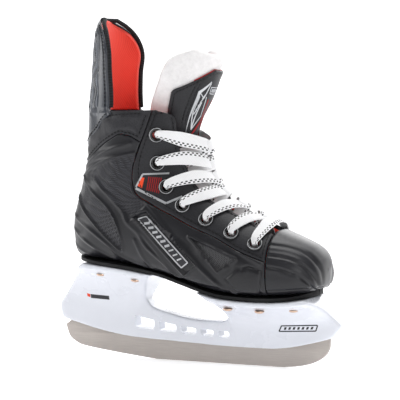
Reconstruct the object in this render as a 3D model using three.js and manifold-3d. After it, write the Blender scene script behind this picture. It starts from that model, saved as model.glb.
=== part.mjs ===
// A junior ice hockey skate: moulded boot, riveted blade holder, steel blade, tongue, tendon guard and lace.
// Millimetres. +X points to the toe, +Y to the inner side of the foot, +Z up.
// The origin is the middle of the blade's flat running edge.
import * as THREE from 'three';
import Module from 'manifold-3d';
import { mergeVertices } from 'three/addons/utils/BufferGeometryUtils.js';

const wasm = await Module();
wasm.setup();

// ---------------------------------------------------------------- driving dimensions
const GAP = 0.35;               // clearance between pieces that touch
const BOOT_LENGTH_SCALE = 1;    // stretches boot, holder and blade along X together
const BOOT_WIDTH_SCALE = 1;     // stretches the boot's section across
const SHELL_WALL = 2.2;         // moulded quarter, facing, collar and toe cap
const LINING_WALL = 2.2;        // woven lining inside the shell
const OUTSOLE_WALL = 2.6;
const BOARD_WALL = 2.0;         // insole board
const FOOTBED_WALL = 3.0;
const TOE_SWING = 3;            // how far the toe tip leans to the inner side
const TOE_TIP = 104;            // where along X the toe tip has swung that far

const BLADE_THICK = 3;
const BLADE_FLAT_FROM = -30;    // the straight running edge
const BLADE_FLAT_TO = 70;
const PIN_RADIUS = 2;           // cross pins that hold the blade in its holder
const RAIL_HALF = 5.5;          // holder wall, half width at the blade
const FLANGE_THICK = 3.2;
const REAR_FLANGE_HALF = 24;
const FRONT_FLANGE_HALF = 30;
const WINDOW_COUNT = 5;
const WINDOW_WALL = 4;

const RIVET_RADIUS = 3.6;
const RIVET_SHANK = 1.7;
const EYELET_COUNT = 7;
const EYELET_HOLE = 3.1;        // radius of the lace hole
const EYELET_BARREL = EYELET_HOLE + 0.6;
const EYELET_RADIUS = 5.7;
const LACE_WIDTH = 10.4;
const LACE_THICK = 1.2;

const TONGUE_THICK = 8;
const TONGUE_COVER_THICK = 1.6;
const GUARD_THICK = 2.6;
const GUARD_LINING_THICK = 4;

// ---------------------------------------------------------------- helpers
// A smooth curve through [place, value] rows, as a function of place.
function through(rows) {
  const slope = (i) => {
    const a = rows[Math.max(i - 1, 0)], b = rows[Math.min(i + 1, rows.length - 1)];
    return (b[1] - a[1]) / (b[0] - a[0]);
  };
  return (x) => {
    let i = rows.findIndex((row, n) => n > 0 && x <= row[0]);
    if (i < 0) i = rows.length - 1;
    const [x0, y0] = rows[i - 1], [x1, y1] = rows[i];
    const h = x1 - x0, t = Math.min(Math.max((x - x0) / h, 0), 1);
    const t2 = t * t, t3 = t2 * t;
    return y0 * (2 * t3 - 3 * t2 + 1) + slope(i - 1) * h * (t3 - 2 * t2 + t)
      + y1 * (3 * t2 - 2 * t3) + slope(i) * h * (t3 - t2);
  };
}

const lerp = (a, b, t) => a + (b - a) * t;

// A closed solid between two grids of points, outer(a, b) and inner(a, b), with a and b from 0 to 1.
function slab(na, nb, outer, inner) {
  const points = [], faces = [];
  const row = nb + 1, side = (na + 1) * row;
  for (const grid of [outer, inner]) {
    for (let i = 0; i <= na; i++) {
      for (let j = 0; j <= nb; j++) points.push(...grid(i / na, j / nb));
    }
  }
  const quad = (a, b, c, d) => faces.push(a, b, c, a, c, d);
  for (let i = 0; i < na; i++) {
    for (let j = 0; j < nb; j++) {
      const k = i * row + j;
      quad(k, k + row, k + row + 1, k + 1);
      quad(side + k, side + k + 1, side + k + row + 1, side + k + row);
    }
  }
  for (let i = 0; i < na; i++) {
    const k = i * row, m = k + nb;
    quad(k, side + k, side + k + row, k + row);
    quad(m, m + row, side + m + row, side + m);
  }
  for (let j = 0; j < nb; j++) {
    const m = na * row + j;
    quad(j, j + 1, side + j + 1, side + j);
    quad(m, side + m, side + m + 1, m + 1);
  }
  const geometry = new THREE.BufferGeometry();
  geometry.setAttribute('position', new THREE.Float32BufferAttribute(points, 3));
  geometry.setIndex(faces);
  return geometry;
}

function toSolid(geometry) {
  const bare = geometry.clone();
  bare.deleteAttribute('normal');
  bare.deleteAttribute('uv');
  const merged = mergeVertices(bare, 1e-3);
  const index = merged.index.array, kept = [];
  for (let i = 0; i < index.length; i += 3) {
    const [a, b, c] = [index[i], index[i + 1], index[i + 2]];
    if (a !== b && b !== c && c !== a) kept.push(a, b, c);
  }
  const mesh = { numProp: 3, vertProperties: new Float32Array(merged.attributes.position.array),
    triVerts: new Uint32Array(kept) };
  const solid = new wasm.Manifold(new wasm.Mesh(mesh));
  if (solid.volume() >= 0) return solid;
  for (let i = 0; i < kept.length; i += 3) [kept[i], kept[i + 1]] = [kept[i + 1], kept[i]];
  return new wasm.Manifold(new wasm.Mesh({ ...mesh, triVerts: new Uint32Array(kept) }));
}

function toGeometry(solid) {
  const { vertProperties, triVerts } = solid.getMesh();
  const geometry = new THREE.BufferGeometry();
  geometry.setAttribute('position', new THREE.BufferAttribute(vertProperties, 3));
  geometry.setIndex(new THREE.BufferAttribute(triVerts, 1));
  geometry.computeVertexNormals();
  return geometry;
}

// A plate with a side outline in X and Z, centred on Y = 0.
function sidePlate(outline, thick) {
  const shape = new THREE.Shape(outline.map(([x, z]) => new THREE.Vector2(x, z)));
  const plate = new THREE.ExtrudeGeometry(shape, { depth: thick, bevelEnabled: false });
  return toSolid(plate.rotateX(Math.PI / 2).translate(0, thick / 2, 0));
}

// A round pin or disc from one point to another.
function rod(from, to, radius, sides = 12) {
  const a = new THREE.Vector3(...from), b = new THREE.Vector3(...to);
  const cylinder = new THREE.CylinderGeometry(radius, radius, a.distanceTo(b), sides);
  const turn = new THREE.Quaternion().setFromUnitVectors(new THREE.Vector3(0, 1, 0),
    b.clone().sub(a).normalize());
  cylinder.applyQuaternion(turn).translate(...a.add(b).multiplyScalar(0.5).toArray());
  return toSolid(cylinder);
}

const skate = new THREE.Group();
const FINISH = {
  moulded: { color: 0x1b1c1e, roughness: 0.38, metalness: 0 },
  leather: { color: 0x161617, roughness: 0.55, metalness: 0 },
  glossy: { color: 0x34373c, roughness: 0.25, metalness: 0 },
  sole: { color: 0x101011, roughness: 0.7, metalness: 0 },
  red: { color: 0xe8382c, roughness: 0.85, metalness: 0 },
  felt: { color: 0xf1eff0, roughness: 0.95, metalness: 0 },
  foam: { color: 0x3a3a3c, roughness: 0.9, metalness: 0 },
  plastic: { color: 0xf3f4f8, roughness: 0.3, metalness: 0 },
  steel: { color: 0xa8a29c, roughness: 0.35, metalness: 1 },
  copper: { color: 0xb98a62, roughness: 0.35, metalness: 1 },
  eyelet: { color: 0x0c0c0d, roughness: 0.2, metalness: 0.6 },
  badge: { color: 0xb9bcc0, roughness: 0.3, metalness: 0.7 },
  lace: { color: 0xf5f5f6, roughness: 0.9, metalness: 0 },
};

function add(name, solid, finish) {
  const mesh = new THREE.Mesh(toGeometry(solid), new THREE.MeshStandardMaterial(FINISH[finish]));
  mesh.name = name;
  skate.add(mesh);
}

// ---------------------------------------------------------------- the last: the boot's outer surface
// Underside of the boot along X, without the outsole.
const soleLine = through([[-99, 76.5], [-71, 73.6], [-46, 71], [-21, 66.8], [-3, 61.8], [16, 56.4],
  [32, 53.4], [66, 52.6], [92, 55.2], [105, 60]]);
// Each station is a section from the sole or heel up to the instep:
// sole x, z, instep x, z, half width, place of the widest point, squareness at the sole and at the instep.
const STATIONS = [
  [102.6, 71, 102.6, 71, 0, 0.4, 2.4, 2.2],
  [101.6, 61, 101, 79.5, 12.5, 0.4, 3, 2.2],
  [97.5, 57.6, 95.5, 87, 22.5, 0.4, 3.4, 2.1],
  [88, 54.9, 85, 92.4, 30, 0.4, 4, 2.1],
  [67.5, 52.8, 67.5, 99.5, 35, 0.4, 4.4, 2.1],
  [46, 52.7, 50, 107.5, 36, 0.4, 4.4, 2],
  [20, 55.5, 35, 116, 34.5, 0.42, 4.2, 2],
  [-8, 63.2, 21, 126, 32.5, 0.44, 4, 2],
  [-36, 69.4, 12, 138, 31.5, 0.46, 3.7, 2.1],
  [-64, 73, 7, 149, 31, 0.48, 3.2, 2.2],
  [-89, 75.6, 4.5, 156, 30.5, 0.5, 2.5, 2.4],
  [-95, 88, 3, 162, 30.5, 0.5, 2.1, 2.5],
  [-95.4, 102, 2, 167, 31, 0.5, 2, 2.6],
  [-90.5, 122, 1.2, 172, 31.5, 0.5, 1.95, 2.7],
  [-85.5, 140, 0.8, 176.5, 32, 0.5, 1.95, 2.8],
  [-82.5, 160, 0.4, 180.5, 32, 0.5, 1.95, 2.9],
  [-81.5, 183, 0, 184, 32, 0.5, 1.95, 3],
];
const LAST_STATION = STATIONS.length - 1;
const stationColumn = (n) => through(STATIONS.map((row, i) => [i, row[n]]));
const [soleX, soleZ, instepX, instepZ, halfWidth, widest, soleSquare, instepSquare] =
  [0, 1, 2, 3, 4, 5, 6, 7].map(stationColumn);

// A point of the last: s is the station, t runs from 0 at the sole or heel to 1 at the instep,
// below zero on the outer side of the foot.
function lastPoint(s, t) {
  const low = new THREE.Vector3(soleX(s) * BOOT_LENGTH_SCALE, 0, soleZ(s));
  const high = new THREE.Vector3(instepX(s) * BOOT_LENGTH_SCALE, 0, instepZ(s));
  const angle = Math.min(Math.abs(t), 1) * Math.PI;
  const square = angle < Math.PI / 2 ? soleSquare(s) : instepSquare(s);
  const across = Math.pow(Math.max(Math.sin(angle), 0), 2 / square);
  const along = Math.pow(Math.abs(Math.cos(angle)), 2 / square) * Math.sign(Math.cos(angle));
  const middle = widest(s);
  const climb = along > 0 ? middle * (1 - along) : middle - (1 - middle) * along;
  const point = low.lerp(high, climb);
  point.y = Math.sign(t) * across * halfWidth(s) * BOOT_WIDTH_SCALE
    + TOE_SWING * Math.pow(Math.max(point.x, 0) / TOE_TIP, 2);
  return point;
}

// The same point moved along the surface normal, outward for a positive distance.
function onLast(s, t, out) {
  const d = 0.02;
  const p = lastPoint(s, t);
  const inS = Math.min(Math.max(s, 0.12), LAST_STATION - d);
  const inT = Math.sign(t || 1) * Math.min(Math.max(Math.abs(t), d), 1 - d);
  const along = lastPoint(inS + d, inT).sub(lastPoint(inS - d, inT));
  const around = lastPoint(inS, inT + d / 2).sub(lastPoint(inS, inT - d / 2));
  const normal = along.cross(around).normalize();
  if (Math.abs(t) < d || Math.abs(t) > 1 - d) normal.setY(0).normalize();
  if (s < 0.12) normal.set(1, 0, 0);
  return p.addScaledVector(normal, out).toArray();
}

// ---------------------------------------------------------------- seams of the upper, as places on the last
const TOE_SEAM = 4;
const COLLAR_STATION = 14.4;    // where the collar's lower seam runs
const throatEdge = through([[4, 0.85], [5, 0.87], [6, 0.86], [7.4, 0.82], [10, 0.82], [12.5, 0.81],
  [14.6, 0.8], [15.4, 0.76], [16, 0.64]]);
const facingSeam = through([[4, 0.57], [5, 0.6], [6, 0.62], [7, 0.6], [8.6, 0.56], [10.3, 0.545],
  [12.2, 0.55], [14.2, 0.58], [16, 0.62]]);
const collarSeam = through([[0, 14.1], [0.2, 14.25], [0.4, 14.7], [0.48, 14.75], [0.55, 14], [0.6, 13.4]]);
const liningLow = (s) => Math.min(Math.max(0.3 - 0.14 * (s - 8.6), 0.02), 0.3);
const EYELETS = [[4.5, 0.69], [5.5, 0.7], [6.6, 0.69], [7.7, 0.66], [8.9, 0.66], [10.9, 0.67],
  [13.6, 0.66]];

const SIDES = [['outer', -1], ['inner', 1]];
const T_SEAM_GAP = 0.004;       // a seam's clearance as a share of the half section
const S_SEAM_GAP = 0.02;        // a seam's clearance in stations

// A curved sheet on one side of the last, from station and section limits, between two offsets.
function sheet(side, na, nb, fromS, toS, fromT, toT, out, inside) {
  const place = (a, b) => {
    const t0 = lerp(fromT(COLLAR_STATION), toT(COLLAR_STATION), b);
    const s = lerp(fromS(t0), toS(t0), a);
    return [s, lerp(fromT(s), toT(s), b)];
  };
  const grid = (offset) => (a, b) => {
    const [s, t] = place(a, b);
    return onLast(s, side * t, offset);
  };
  return toSolid(slab(na, nb, grid(out), grid(inside))).translate(0, side * GAP / 2, 0);
}
const always = (value) => () => value;
const LINING_OUT = -(SHELL_WALL + 2.5 * GAP);
const LINING_IN = LINING_OUT - LINING_WALL;
const PAD_GAP = 3 * GAP;

function eyeletFrame(side, [s, t]) {
  const inside = new THREE.Vector3(...onLast(s, side * t, -1));
  const outside = new THREE.Vector3(...onLast(s, side * t, 0));
  inside.y += side * GAP / 2;
  outside.y += side * GAP / 2;
  return { at: outside, normal: outside.clone().sub(inside).normalize() };
}
const along = ({ at, normal }, distance) => at.clone().addScaledVector(normal, distance).toArray();

// A turned ring on the surface, from a closed profile of [radius, height].
function ring(frame, profile, sides) {
  const points = [...profile, profile[0]].map(([r, h]) => new THREE.Vector2(r, h));
  const turn = new THREE.Quaternion().setFromUnitVectors(new THREE.Vector3(0, 1, 0), frame.normal);
  return toSolid(new THREE.LatheGeometry(points, sides).applyQuaternion(turn)
    .translate(...frame.at.toArray()));
}

// ---------------------------------------------------------------- upper
for (const [name, side] of SIDES) {
  const frames = EYELETS.map((place) => eyeletFrame(side, place));
  add(`quarter_${name}`, sheet(side, 19, 9, always(TOE_SEAM + S_SEAM_GAP),
    (t) => collarSeam(t) - S_SEAM_GAP, always(0), (s) => facingSeam(s) - T_SEAM_GAP,
    0, -SHELL_WALL), 'moulded');

  let facing = sheet(side, 22, 3, always(TOE_SEAM + S_SEAM_GAP), always(LAST_STATION),
    facingSeam, throatEdge, 0, -SHELL_WALL);
  let lining = sheet(side, 17, 6, always(TOE_SEAM + 0.1), always(LAST_STATION - 0.1),
    liningLow, (s) => throatEdge(s) - 0.01, LINING_OUT, LINING_IN);
  for (const frame of frames) {
    facing = facing.subtract(rod(along(frame, -4), along(frame, 4), EYELET_BARREL + GAP, 10));
    lining = lining.subtract(rod(along(frame, -9), along(frame, 2), EYELET_BARREL + GAP, 10));
  }
  add(`facing_${name}`, facing, 'leather');
  add(`lining_${name}`, lining, 'red');
  add(`collar_${name}`, sheet(side, 3, 9, (t) => collarSeam(t) + S_SEAM_GAP, always(LAST_STATION),
    always(0), (s) => facingSeam(s) - T_SEAM_GAP, 0, -SHELL_WALL), 'leather');
  add(`ankle_pad_${name}`, sheet(side, 6, 4, always(11), always(15), always(0.22), always(0.46),
    LINING_IN - PAD_GAP, LINING_IN - PAD_GAP - 3.5), 'foam');

  frames.forEach((frame, i) => add(`eyelet_${name}_${i + 1}`, ring(frame, [
    [EYELET_HOLE, -SHELL_WALL], [EYELET_BARREL, -SHELL_WALL], [EYELET_BARREL, GAP],
    [EYELET_RADIUS, GAP], [EYELET_HOLE + 0.8, GAP + 1.1], [EYELET_HOLE, GAP + 0.6]], 10), 'eyelet'));
}

// The toe cap closes over the toes, from one side of the sole round the top to the other.
const capGrid = (offset) => (a, b) => onLast(a * (TOE_SEAM - S_SEAM_GAP), 2 * b - 1, offset);
// A cup: two nested grids that close round b and meet in a pole at a = 0, open at a = 1.
function cup(outer, inner, na = 9, nb = 22) {
  const points = [], faces = [];
  for (const grid of [outer, inner]) {
    points.push(...grid(0, 0.5));
    for (let i = 1; i <= na; i++) {
      for (let j = 0; j < nb; j++) points.push(...grid(i / na, j / nb));
    }
  }
  const side = 1 + na * nb;
  const at = (base, i, j) => base + 1 + (i - 1) * nb + (j % nb);
  for (const [base, flip] of [[0, false], [side, true]]) {
    const tri = (a, b, c) => faces.push(...(flip ? [a, c, b] : [a, b, c]));
    for (let j = 0; j < nb; j++) {
      tri(base, at(base, 1, j), at(base, 1, j + 1));
      for (let i = 1; i < na; i++) {
        tri(at(base, i, j), at(base, i + 1, j), at(base, i + 1, j + 1));
        tri(at(base, i, j), at(base, i + 1, j + 1), at(base, i, j + 1));
      }
    }
  }
  for (let j = 0; j < nb; j++) {
    const a = at(0, na, j), b = at(0, na, j + 1), c = at(side, na, j + 1), d = at(side, na, j);
    faces.push(a, d, c, a, c, b);
  }
  const geometry = new THREE.BufferGeometry();
  geometry.setAttribute('position', new THREE.Float32BufferAttribute(points, 3));
  geometry.setIndex(faces);
  return geometry;
}
// The inner wall's pole starts a little further from the tip, by the wall.
const TOE_POLE_SHIFT = 0.06;
add('toe_cap', toSolid(cup(capGrid(0),
  (a, b) => capGrid(-SHELL_WALL)(lerp(TOE_POLE_SHIFT, 1, a), b))), 'moulded');

// ---------------------------------------------------------------- sole
const SOLE_REAR = -91, SOLE_FRONT = 97;
const SOLE_REAR_ROUND = 22, SOLE_FRONT_ROUND = 30;   // length of the plate's rounded ends
const BOARD_INSET = 12.5, FOOTBED_INSET = 13;
const BOARD_AIR = 1.6;          // between the shell's turned-in edge and the board
// Half width of the sole plate in plan.
const soleHalf = (x, inset) => {
  const flat = through([[SOLE_REAR, 18], [-60, 23], [-20, 22], [20, 25.5], [60, 28.5], [SOLE_FRONT, 26]])(x);
  const rearEnd = Math.min((x - SOLE_REAR - inset) / SOLE_REAR_ROUND, 1);
  const frontEnd = Math.min((SOLE_FRONT - inset - x) / SOLE_FRONT_ROUND, 1);
  const round = (share) => Math.sqrt(Math.max(1 - Math.pow(1 - share, 2), 0.02));
  return (flat * BOOT_WIDTH_SCALE - inset) * round(rearEnd) * round(frontEnd);
};
function solePlate(inset, low, high, nx = 20) {
  const grid = (lift) => (a, b) => {
    const bend = 0.5 - 0.5 * Math.cos(Math.PI * a);
    const x = lerp(SOLE_REAR + inset, SOLE_FRONT - inset, bend);
    const y = (2 * b - 1) * soleHalf(x, inset) + TOE_SWING * Math.pow(Math.max(x, 0) / TOE_TIP, 2);
    return [x * BOOT_LENGTH_SCALE, y, soleLine(x) + lift];
  };
  return toSolid(slab(nx, 4, grid(high), grid(low)));
}
const OUTSOLE_TOP = -0.7;
const OUTSOLE_LOW = OUTSOLE_TOP - OUTSOLE_WALL;
const HOLDER_TOP = OUTSOLE_LOW - GAP;
const BOARD_LOW = SHELL_WALL + BOARD_AIR;
const FOOTBED_LOW = BOARD_LOW + BOARD_WALL + GAP;
let outsole = solePlate(0, OUTSOLE_LOW, OUTSOLE_TOP);
add('insole_board', solePlate(BOARD_INSET, BOARD_LOW, BOARD_LOW + BOARD_WALL), 'foam');
add('footbed', solePlate(FOOTBED_INSET, FOOTBED_LOW, FOOTBED_LOW + FOOTBED_WALL), 'red');

// ---------------------------------------------------------------- blade and holder
const bladeBottom = through([[-105, 22], [-102, 14], [-97, 9.8], [-91, 7.2], [-63, 3.4],
  [BLADE_FLAT_FROM, 0]]);
const bladeNose = through([[BLADE_FLAT_TO, 0], [83, 1.7], [93.5, 4.8], [101, 9.8], [104.3, 15.5],
  [105, 22]]);
const EARS = [[-92, -60, 31], [60, 92, 26.5]];      // from, to and top of the blade's ears in the towers
const BLADE_TOP = 17;
function bladeOutline() {
  const points = [];
  for (const x of [-105, -103.6, -100, -96, -91, -77, -63, -45]) points.push([x, bladeBottom(x)]);
  points.push([BLADE_FLAT_FROM, 0], [BLADE_FLAT_TO, 0]);
  for (const x of [77, 83, 89, 94, 98.5, 102, 104.2, 105]) points.push([x, bladeNose(x)]);
  const [rear, front] = EARS;
  points.push([100, 24.5], [front[1], front[2]], [front[0], front[2]], [front[0] - 4, BLADE_TOP],
    [-40, BLADE_TOP], [rear[1], 21.5], [rear[1], rear[2]], [rear[0], rear[2]], [-98, 27.5]);
  return points.map(([x, z]) => [x * BOOT_LENGTH_SCALE, z]);
}
const PINS = [['rear', -78, 26.5], ['front', 76, 21.8]];
let blade = sidePlate(bladeOutline(), BLADE_THICK);

// Lower edge of the holder's walls along X.
const holderLow = through([[-107, 28.5], [-102, 26.6], [-92, 24], [-78, 20.6], [-60, 17.4], [-45, 15.8],
  [-10, 14.4], [26, 13.1], [53, 13], [66, 13.5], [80, 15.7], [97, 20], [107, 23], [113, 25]]);
const holderTop = (x) => soleLine(x) + HOLDER_TOP;
// A tower widens from the blade to its flange; rear(v) and front(v) are its ends from bottom to top.
function tower(rear, front, flangeHalf, flareStart, na = 12, nb = 10) {
  const grid = (side) => (a, b) => {
    const x = lerp(rear(b), front(b), 0.5 - 0.5 * Math.cos(Math.PI * a));
    const low = holderLow(x), top = holderTop(x);
    const flangeShare = FLANGE_THICK / (top - low);
    const v = b > 0.95 ? 1 : b / 0.9 * (1 - flangeShare);
    const z = lerp(low, top, v);
    const flare = Math.pow(Math.max((Math.min(b / 0.9, 1) - flareStart) / (1 - flareStart), 0), 2.3);
    const ends = Math.pow(Math.max(1 - Math.pow(Math.abs(2 * a - 1), 5), 0.0), 0.5);
    const half = lerp(RAIL_HALF, flangeHalf, flare) * lerp(0.42, 1, ends);
    return [x * BOOT_LENGTH_SCALE, side * half, z];
  };
  return toSolid(slab(na, nb, grid(1), grid(-1)));
}
const rearTower = tower(through([[0, -106.5], [0.18, -108.5], [0.4, -103], [0.7, -93], [1, -82]]),
  through([[0, -38], [0.45, -37.5], [0.75, -33], [1, -25]]), REAR_FLANGE_HALF, 0.3);
const frontTower = tower(through([[0, 30], [0.5, 30], [0.75, 26], [0.9, 18], [1, 10]]),
  through([[0, 108], [0.22, 113.5], [0.5, 106.5], [0.8, 99.5], [1, 93.5]]), FRONT_FLANGE_HALF, 0.25);
// The rail joins the towers under the arch.
const railTop = through([[-42, 47], [-36, 44.5], [-32.4, 40], [-27, 37.6], [-17, 35], [-1, 31.8], [18, 31],
  [25, 31.2], [28.5, 34], [33, 38]]);
const rail = toSolid(slab(18, 2, ...[1, -1].map((side) => (a, b) => {
  const x = lerp(-42, 33, a);
  const z = lerp(holderLow(x), railTop(x), b);
  return [x * BOOT_LENGTH_SCALE, side * RAIL_HALF, z];
})));
let holder = rearTower.add(frontTower).add(rail);
const slot = sidePlate(bladeOutline(), BLADE_THICK + 2 * GAP);
for (const [dx, dz] of [[-GAP, 0], [GAP, 0], [0, GAP], [0, -GAP]]) {
  holder = holder.subtract(slot.translate(dx, 0, dz));
}

// The windows shrink towards the toe.
const WINDOWS_FROM = -45.5, WINDOWS_TO = 29.5;
const windowLow = through([[-46, 23.6], [-25, 21.6], [0, 20.6], [30, 18.8]]);
const windowHigh = through([[-46, 32.2], [-25, 28.6], [0, 25.2], [30, 23.8]]);
const windowWidths = Array.from({ length: WINDOW_COUNT }, (_, i) => 1 - 0.12 * i);
const widthUnit = (WINDOWS_TO - WINDOWS_FROM - WINDOW_WALL * (WINDOW_COUNT - 1))
  / windowWidths.reduce((sum, width) => sum + width, 0);
const WINDOWS = [];
let windowStart = WINDOWS_FROM;
for (const share of windowWidths) {
  WINDOWS.push([windowStart, windowStart + share * widthUnit]);
  windowStart += share * widthUnit + WINDOW_WALL;
}
for (const [from, to] of WINDOWS) {
  const outline = [[from - 0.8, windowHigh(from)], [from + 0.4, windowLow(from)], [to - 0.2, windowLow(to)],
    [to, windowHigh(to)]];
  holder = holder.subtract(sidePlate(outline.map(([x, z]) => [x * BOOT_LENGTH_SCALE, z]), 4 * RAIL_HALF));
}
for (const [name, x, z] of PINS) {
  const at = x * BOOT_LENGTH_SCALE;
  const half = RAIL_HALF - 0.4;
  holder = holder.subtract(rod([at, -half - GAP, z], [at, half + GAP + 40, z], PIN_RADIUS + GAP));
  blade = blade.subtract(rod([at, -half, z], [at, half, z], PIN_RADIUS + GAP));
  add(`blade_pin_${name}`, rod([at, -half, z], [at, half, z], PIN_RADIUS), 'steel');
}

// Rivets through the flanges into the sole.
const RIVET_INSET = 5.5;        // from the flange's edge
const RIVETS = [['rear', [-67, -39], REAR_FLANGE_HALF - RIVET_INSET],
  ['front', [36, 60, 84], FRONT_FLANGE_HALF - RIVET_INSET]];
for (const [place, rows, across] of RIVETS) {
  for (const [name, side] of SIDES) {
    rows.forEach((row, i) => {
      const x = row * BOOT_LENGTH_SCALE;
      const y = side * (across - (row > 70 ? 4 : 0));
      const top = holderTop(row);
      const under = top - FLANGE_THICK - 3.4;
      const shank = rod([x, y, under], [x, y, top + 1.5], RIVET_SHANK, 8);
      const head = rod([x, y, under - 1.1], [x, y, under], RIVET_RADIUS, 10);
      const hole = rod([x, y, under], [x, y, top + 1.5 + GAP], RIVET_SHANK + GAP, 8);
      const seat = rod([x, y, under - 12], [x, y, under + GAP], RIVET_RADIUS + GAP, 10);
      holder = holder.subtract(hole).subtract(seat);
      outsole = outsole.subtract(hole);
      add(`rivet_${place}_${name}_${i + 1}`, shank.add(head), 'copper');
    });
  }
}
add('blade', blade, 'steel');
add('holder', holder, 'plastic');
add('outsole', outsole, 'sole');

// ---------------------------------------------------------------- tongue
// A surface point moved along its normal; facing is +1 or -1, whichever points outward.
function offsetOn(surface, a, b, out, facing) {
  const d = 0.004;
  const a0 = Math.min(Math.max(a, d), 1 - d), b0 = Math.min(Math.max(b, d), 1 - d);
  const across = surface(a0 + d, b0).sub(surface(a0 - d, b0));
  const around = surface(a0, b0 + d).sub(surface(a0, b0 - d));
  const normal = across.cross(around).normalize();
  return surface(a, b).addScaledVector(normal, facing * out).toArray();
}
// A U-shaped cross section: half width and depth, with q from -1 to 1.
const U_ANGLE = THREE.MathUtils.degToRad(80);
const uAcross = (q, half) => half * Math.sin(q * U_ANGLE) / Math.sin(U_ANGLE);
const uDrop = (q, depth) => depth * (1 - Math.cos(q * U_ANGLE)) / (1 - Math.cos(U_ANGLE));

// Rows up the tongue's face: x, z, half width, depth of the curve across.
const TONGUE = [[61, 96, 13, 14], [45, 104.5, 15, 18], [30, 111.5, 16.5, 20], [17, 120.5, 17.5, 23],
  [6, 134, 18.5, 27], [1.5, 149, 19.5, 31], [1.5, 163, 20, 32], [5.5, 177, 23, 34], [13, 192, 28, 34],
  [19, 207, 29, 32], [25, 220.5, 25, 24]];
const TONGUE_SPLIT = 6.5;        // the row where the loose upper part starts
const TONGUE_GAP = 0.04;
const [tongueX, tongueZ, tongueHalf, tongueDepth] =
  [0, 1, 2, 3].map((n) => through(TONGUE.map((r, i) => [i, r[n]])));
function tonguePoint(v, q, inset) {
  const half = tongueHalf(v) - inset;
  const drop = uDrop(q * half / tongueHalf(v), tongueDepth(v));
  const tilt = new THREE.Vector3(tongueX(v + 0.1) - tongueX(v - 0.1), 0,
    tongueZ(v + 0.1) - tongueZ(v - 0.1));
  tilt.normalize();
  return new THREE.Vector3(tongueX(v) * BOOT_LENGTH_SCALE - tilt.z * drop,
    uAcross(q * half / tongueHalf(v), tongueHalf(v)) * BOOT_WIDTH_SCALE, tongueZ(v) + tilt.x * drop);
}
function tongueSheet(fromV, toV, inset, out, inside, na, nb) {
  // The top corners are rounded.
  const surface = (a, b) => {
    const v = lerp(fromV, toV, a);
    const corner = 5 * Math.pow(Math.max((v - 8.6) / 1.4, 0), 3);
    return tonguePoint(v, 2 * b - 1, inset + corner);
  };
  const grid = (offset) => (a, b) => offsetOn(surface, a, b, offset, -1);
  return toSolid(slab(na, nb, grid(out), grid(inside)));
}
const FELT_OUT = -(TONGUE_COVER_THICK + 2 * GAP);

// Name, felt from and to, cover from and to, and how far the cover's sides stay inside the felt's.
for (const [name, from, to, coverFrom, coverTo, inset] of [
  ['lower', 0, TONGUE_SPLIT - TONGUE_GAP, 0.3, TONGUE_SPLIT - TONGUE_GAP, 12.5],
  ['top', TONGUE_SPLIT + TONGUE_GAP, 10, TONGUE_SPLIT + TONGUE_GAP, 9.3, 6.5]]) {
  add(`tongue_felt_${name}`, tongueSheet(from, to, 0, FELT_OUT, FELT_OUT - TONGUE_THICK, 7, 8), 'felt');
  add(`tongue_cover_${name}`, tongueSheet(coverFrom, coverTo, inset, 0, -TONGUE_COVER_THICK, 7, 8), 'leather');
}

// ---------------------------------------------------------------- tendon guard
const GUARD_FOOT = 184.2;
const GUARD_TOP = 251;
const guardBack = through([[183, -83.6], [190, -82.6], [211, -80], [235, -77], [251, -75.3]]);
const guardHalf = through([[183, 28.5], [195, 27.5], [212, 29], [224, 31], [232, 30], [240, 26],
  [246, 20], [251, 9]]);
const guardDepth = through([[183, 28], [195, 26], [212, 23.5], [224, 22.5], [232, 20], [240, 15.5], [246, 10],
  [251, 4.5]]);
const guardSurface = (rim) => (a, b) => {
  const z = lerp(GUARD_FOOT, GUARD_TOP - rim, a);
  const q = (2 * b - 1) * (1 - rim / 31);
  return new THREE.Vector3(guardBack(z) * BOOT_LENGTH_SCALE + uDrop(q, guardDepth(z)),
    uAcross(q, guardHalf(z)) * BOOT_WIDTH_SCALE, z);
};
const guardSheet = (rim, out, inside) => toSolid(slab(8, 10,
  ...[out, inside].map((offset) => (a, b) => offsetOn(guardSurface(rim), a, b, offset, 1))));
add('tendon_guard_shell', guardSheet(0, 0, -GUARD_THICK), 'glossy');
const GUARD_LINING_OUT = -GUARD_THICK - 2 * GAP;
add('tendon_guard_lining', guardSheet(1.5, GUARD_LINING_OUT, GUARD_LINING_OUT - GUARD_LINING_THICK), 'red');

// The pointed foot of the guard is sewn over the collar.
const patchEdge = through([[0, 14.8], [0.15, 14.9], [0.29, 15.25], [0.33, 15.5], [0.38, 15.75],
  [0.42, 15.9]]);
const PATCH_HALF = 0.41, PATCH_THICK = 1.6;
const patchGrid = (offset) => (a, b) => {
  const t = PATCH_HALF * (2 * b - 1);
  return onLast(lerp(patchEdge(Math.abs(t)), LAST_STATION, a), t, offset);
};
add('guard_foot', toSolid(slab(4, 12, patchGrid(2 * GAP + PATCH_THICK), patchGrid(2 * GAP))), 'glossy');

// ---------------------------------------------------------------- side badges
// A slanted name plate without lettering on each quarter.
const BADGE_THICK = 0.8;
const BADGE_CORNERS = [[6.7, 0.34], [6.5, 0.42], [9, 0.485], [8.7, 0.515]];   // s, t: low and high end corners
for (const [name, side] of SIDES) {
  const corner = (n, a, b) => lerp(lerp(BADGE_CORNERS[0][n], BADGE_CORNERS[2][n], a),
    lerp(BADGE_CORNERS[1][n], BADGE_CORNERS[3][n], a), b);
  const grid = (offset) => (a, b) => onLast(corner(0, a, b), side * corner(1, a, b), offset);
  add(`badge_${name}`, toSolid(slab(6, 2, grid(2 * GAP + BADGE_THICK), grid(2 * GAP)))
    .translate(0, side * GAP / 2, 0), 'badge');
}

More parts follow.
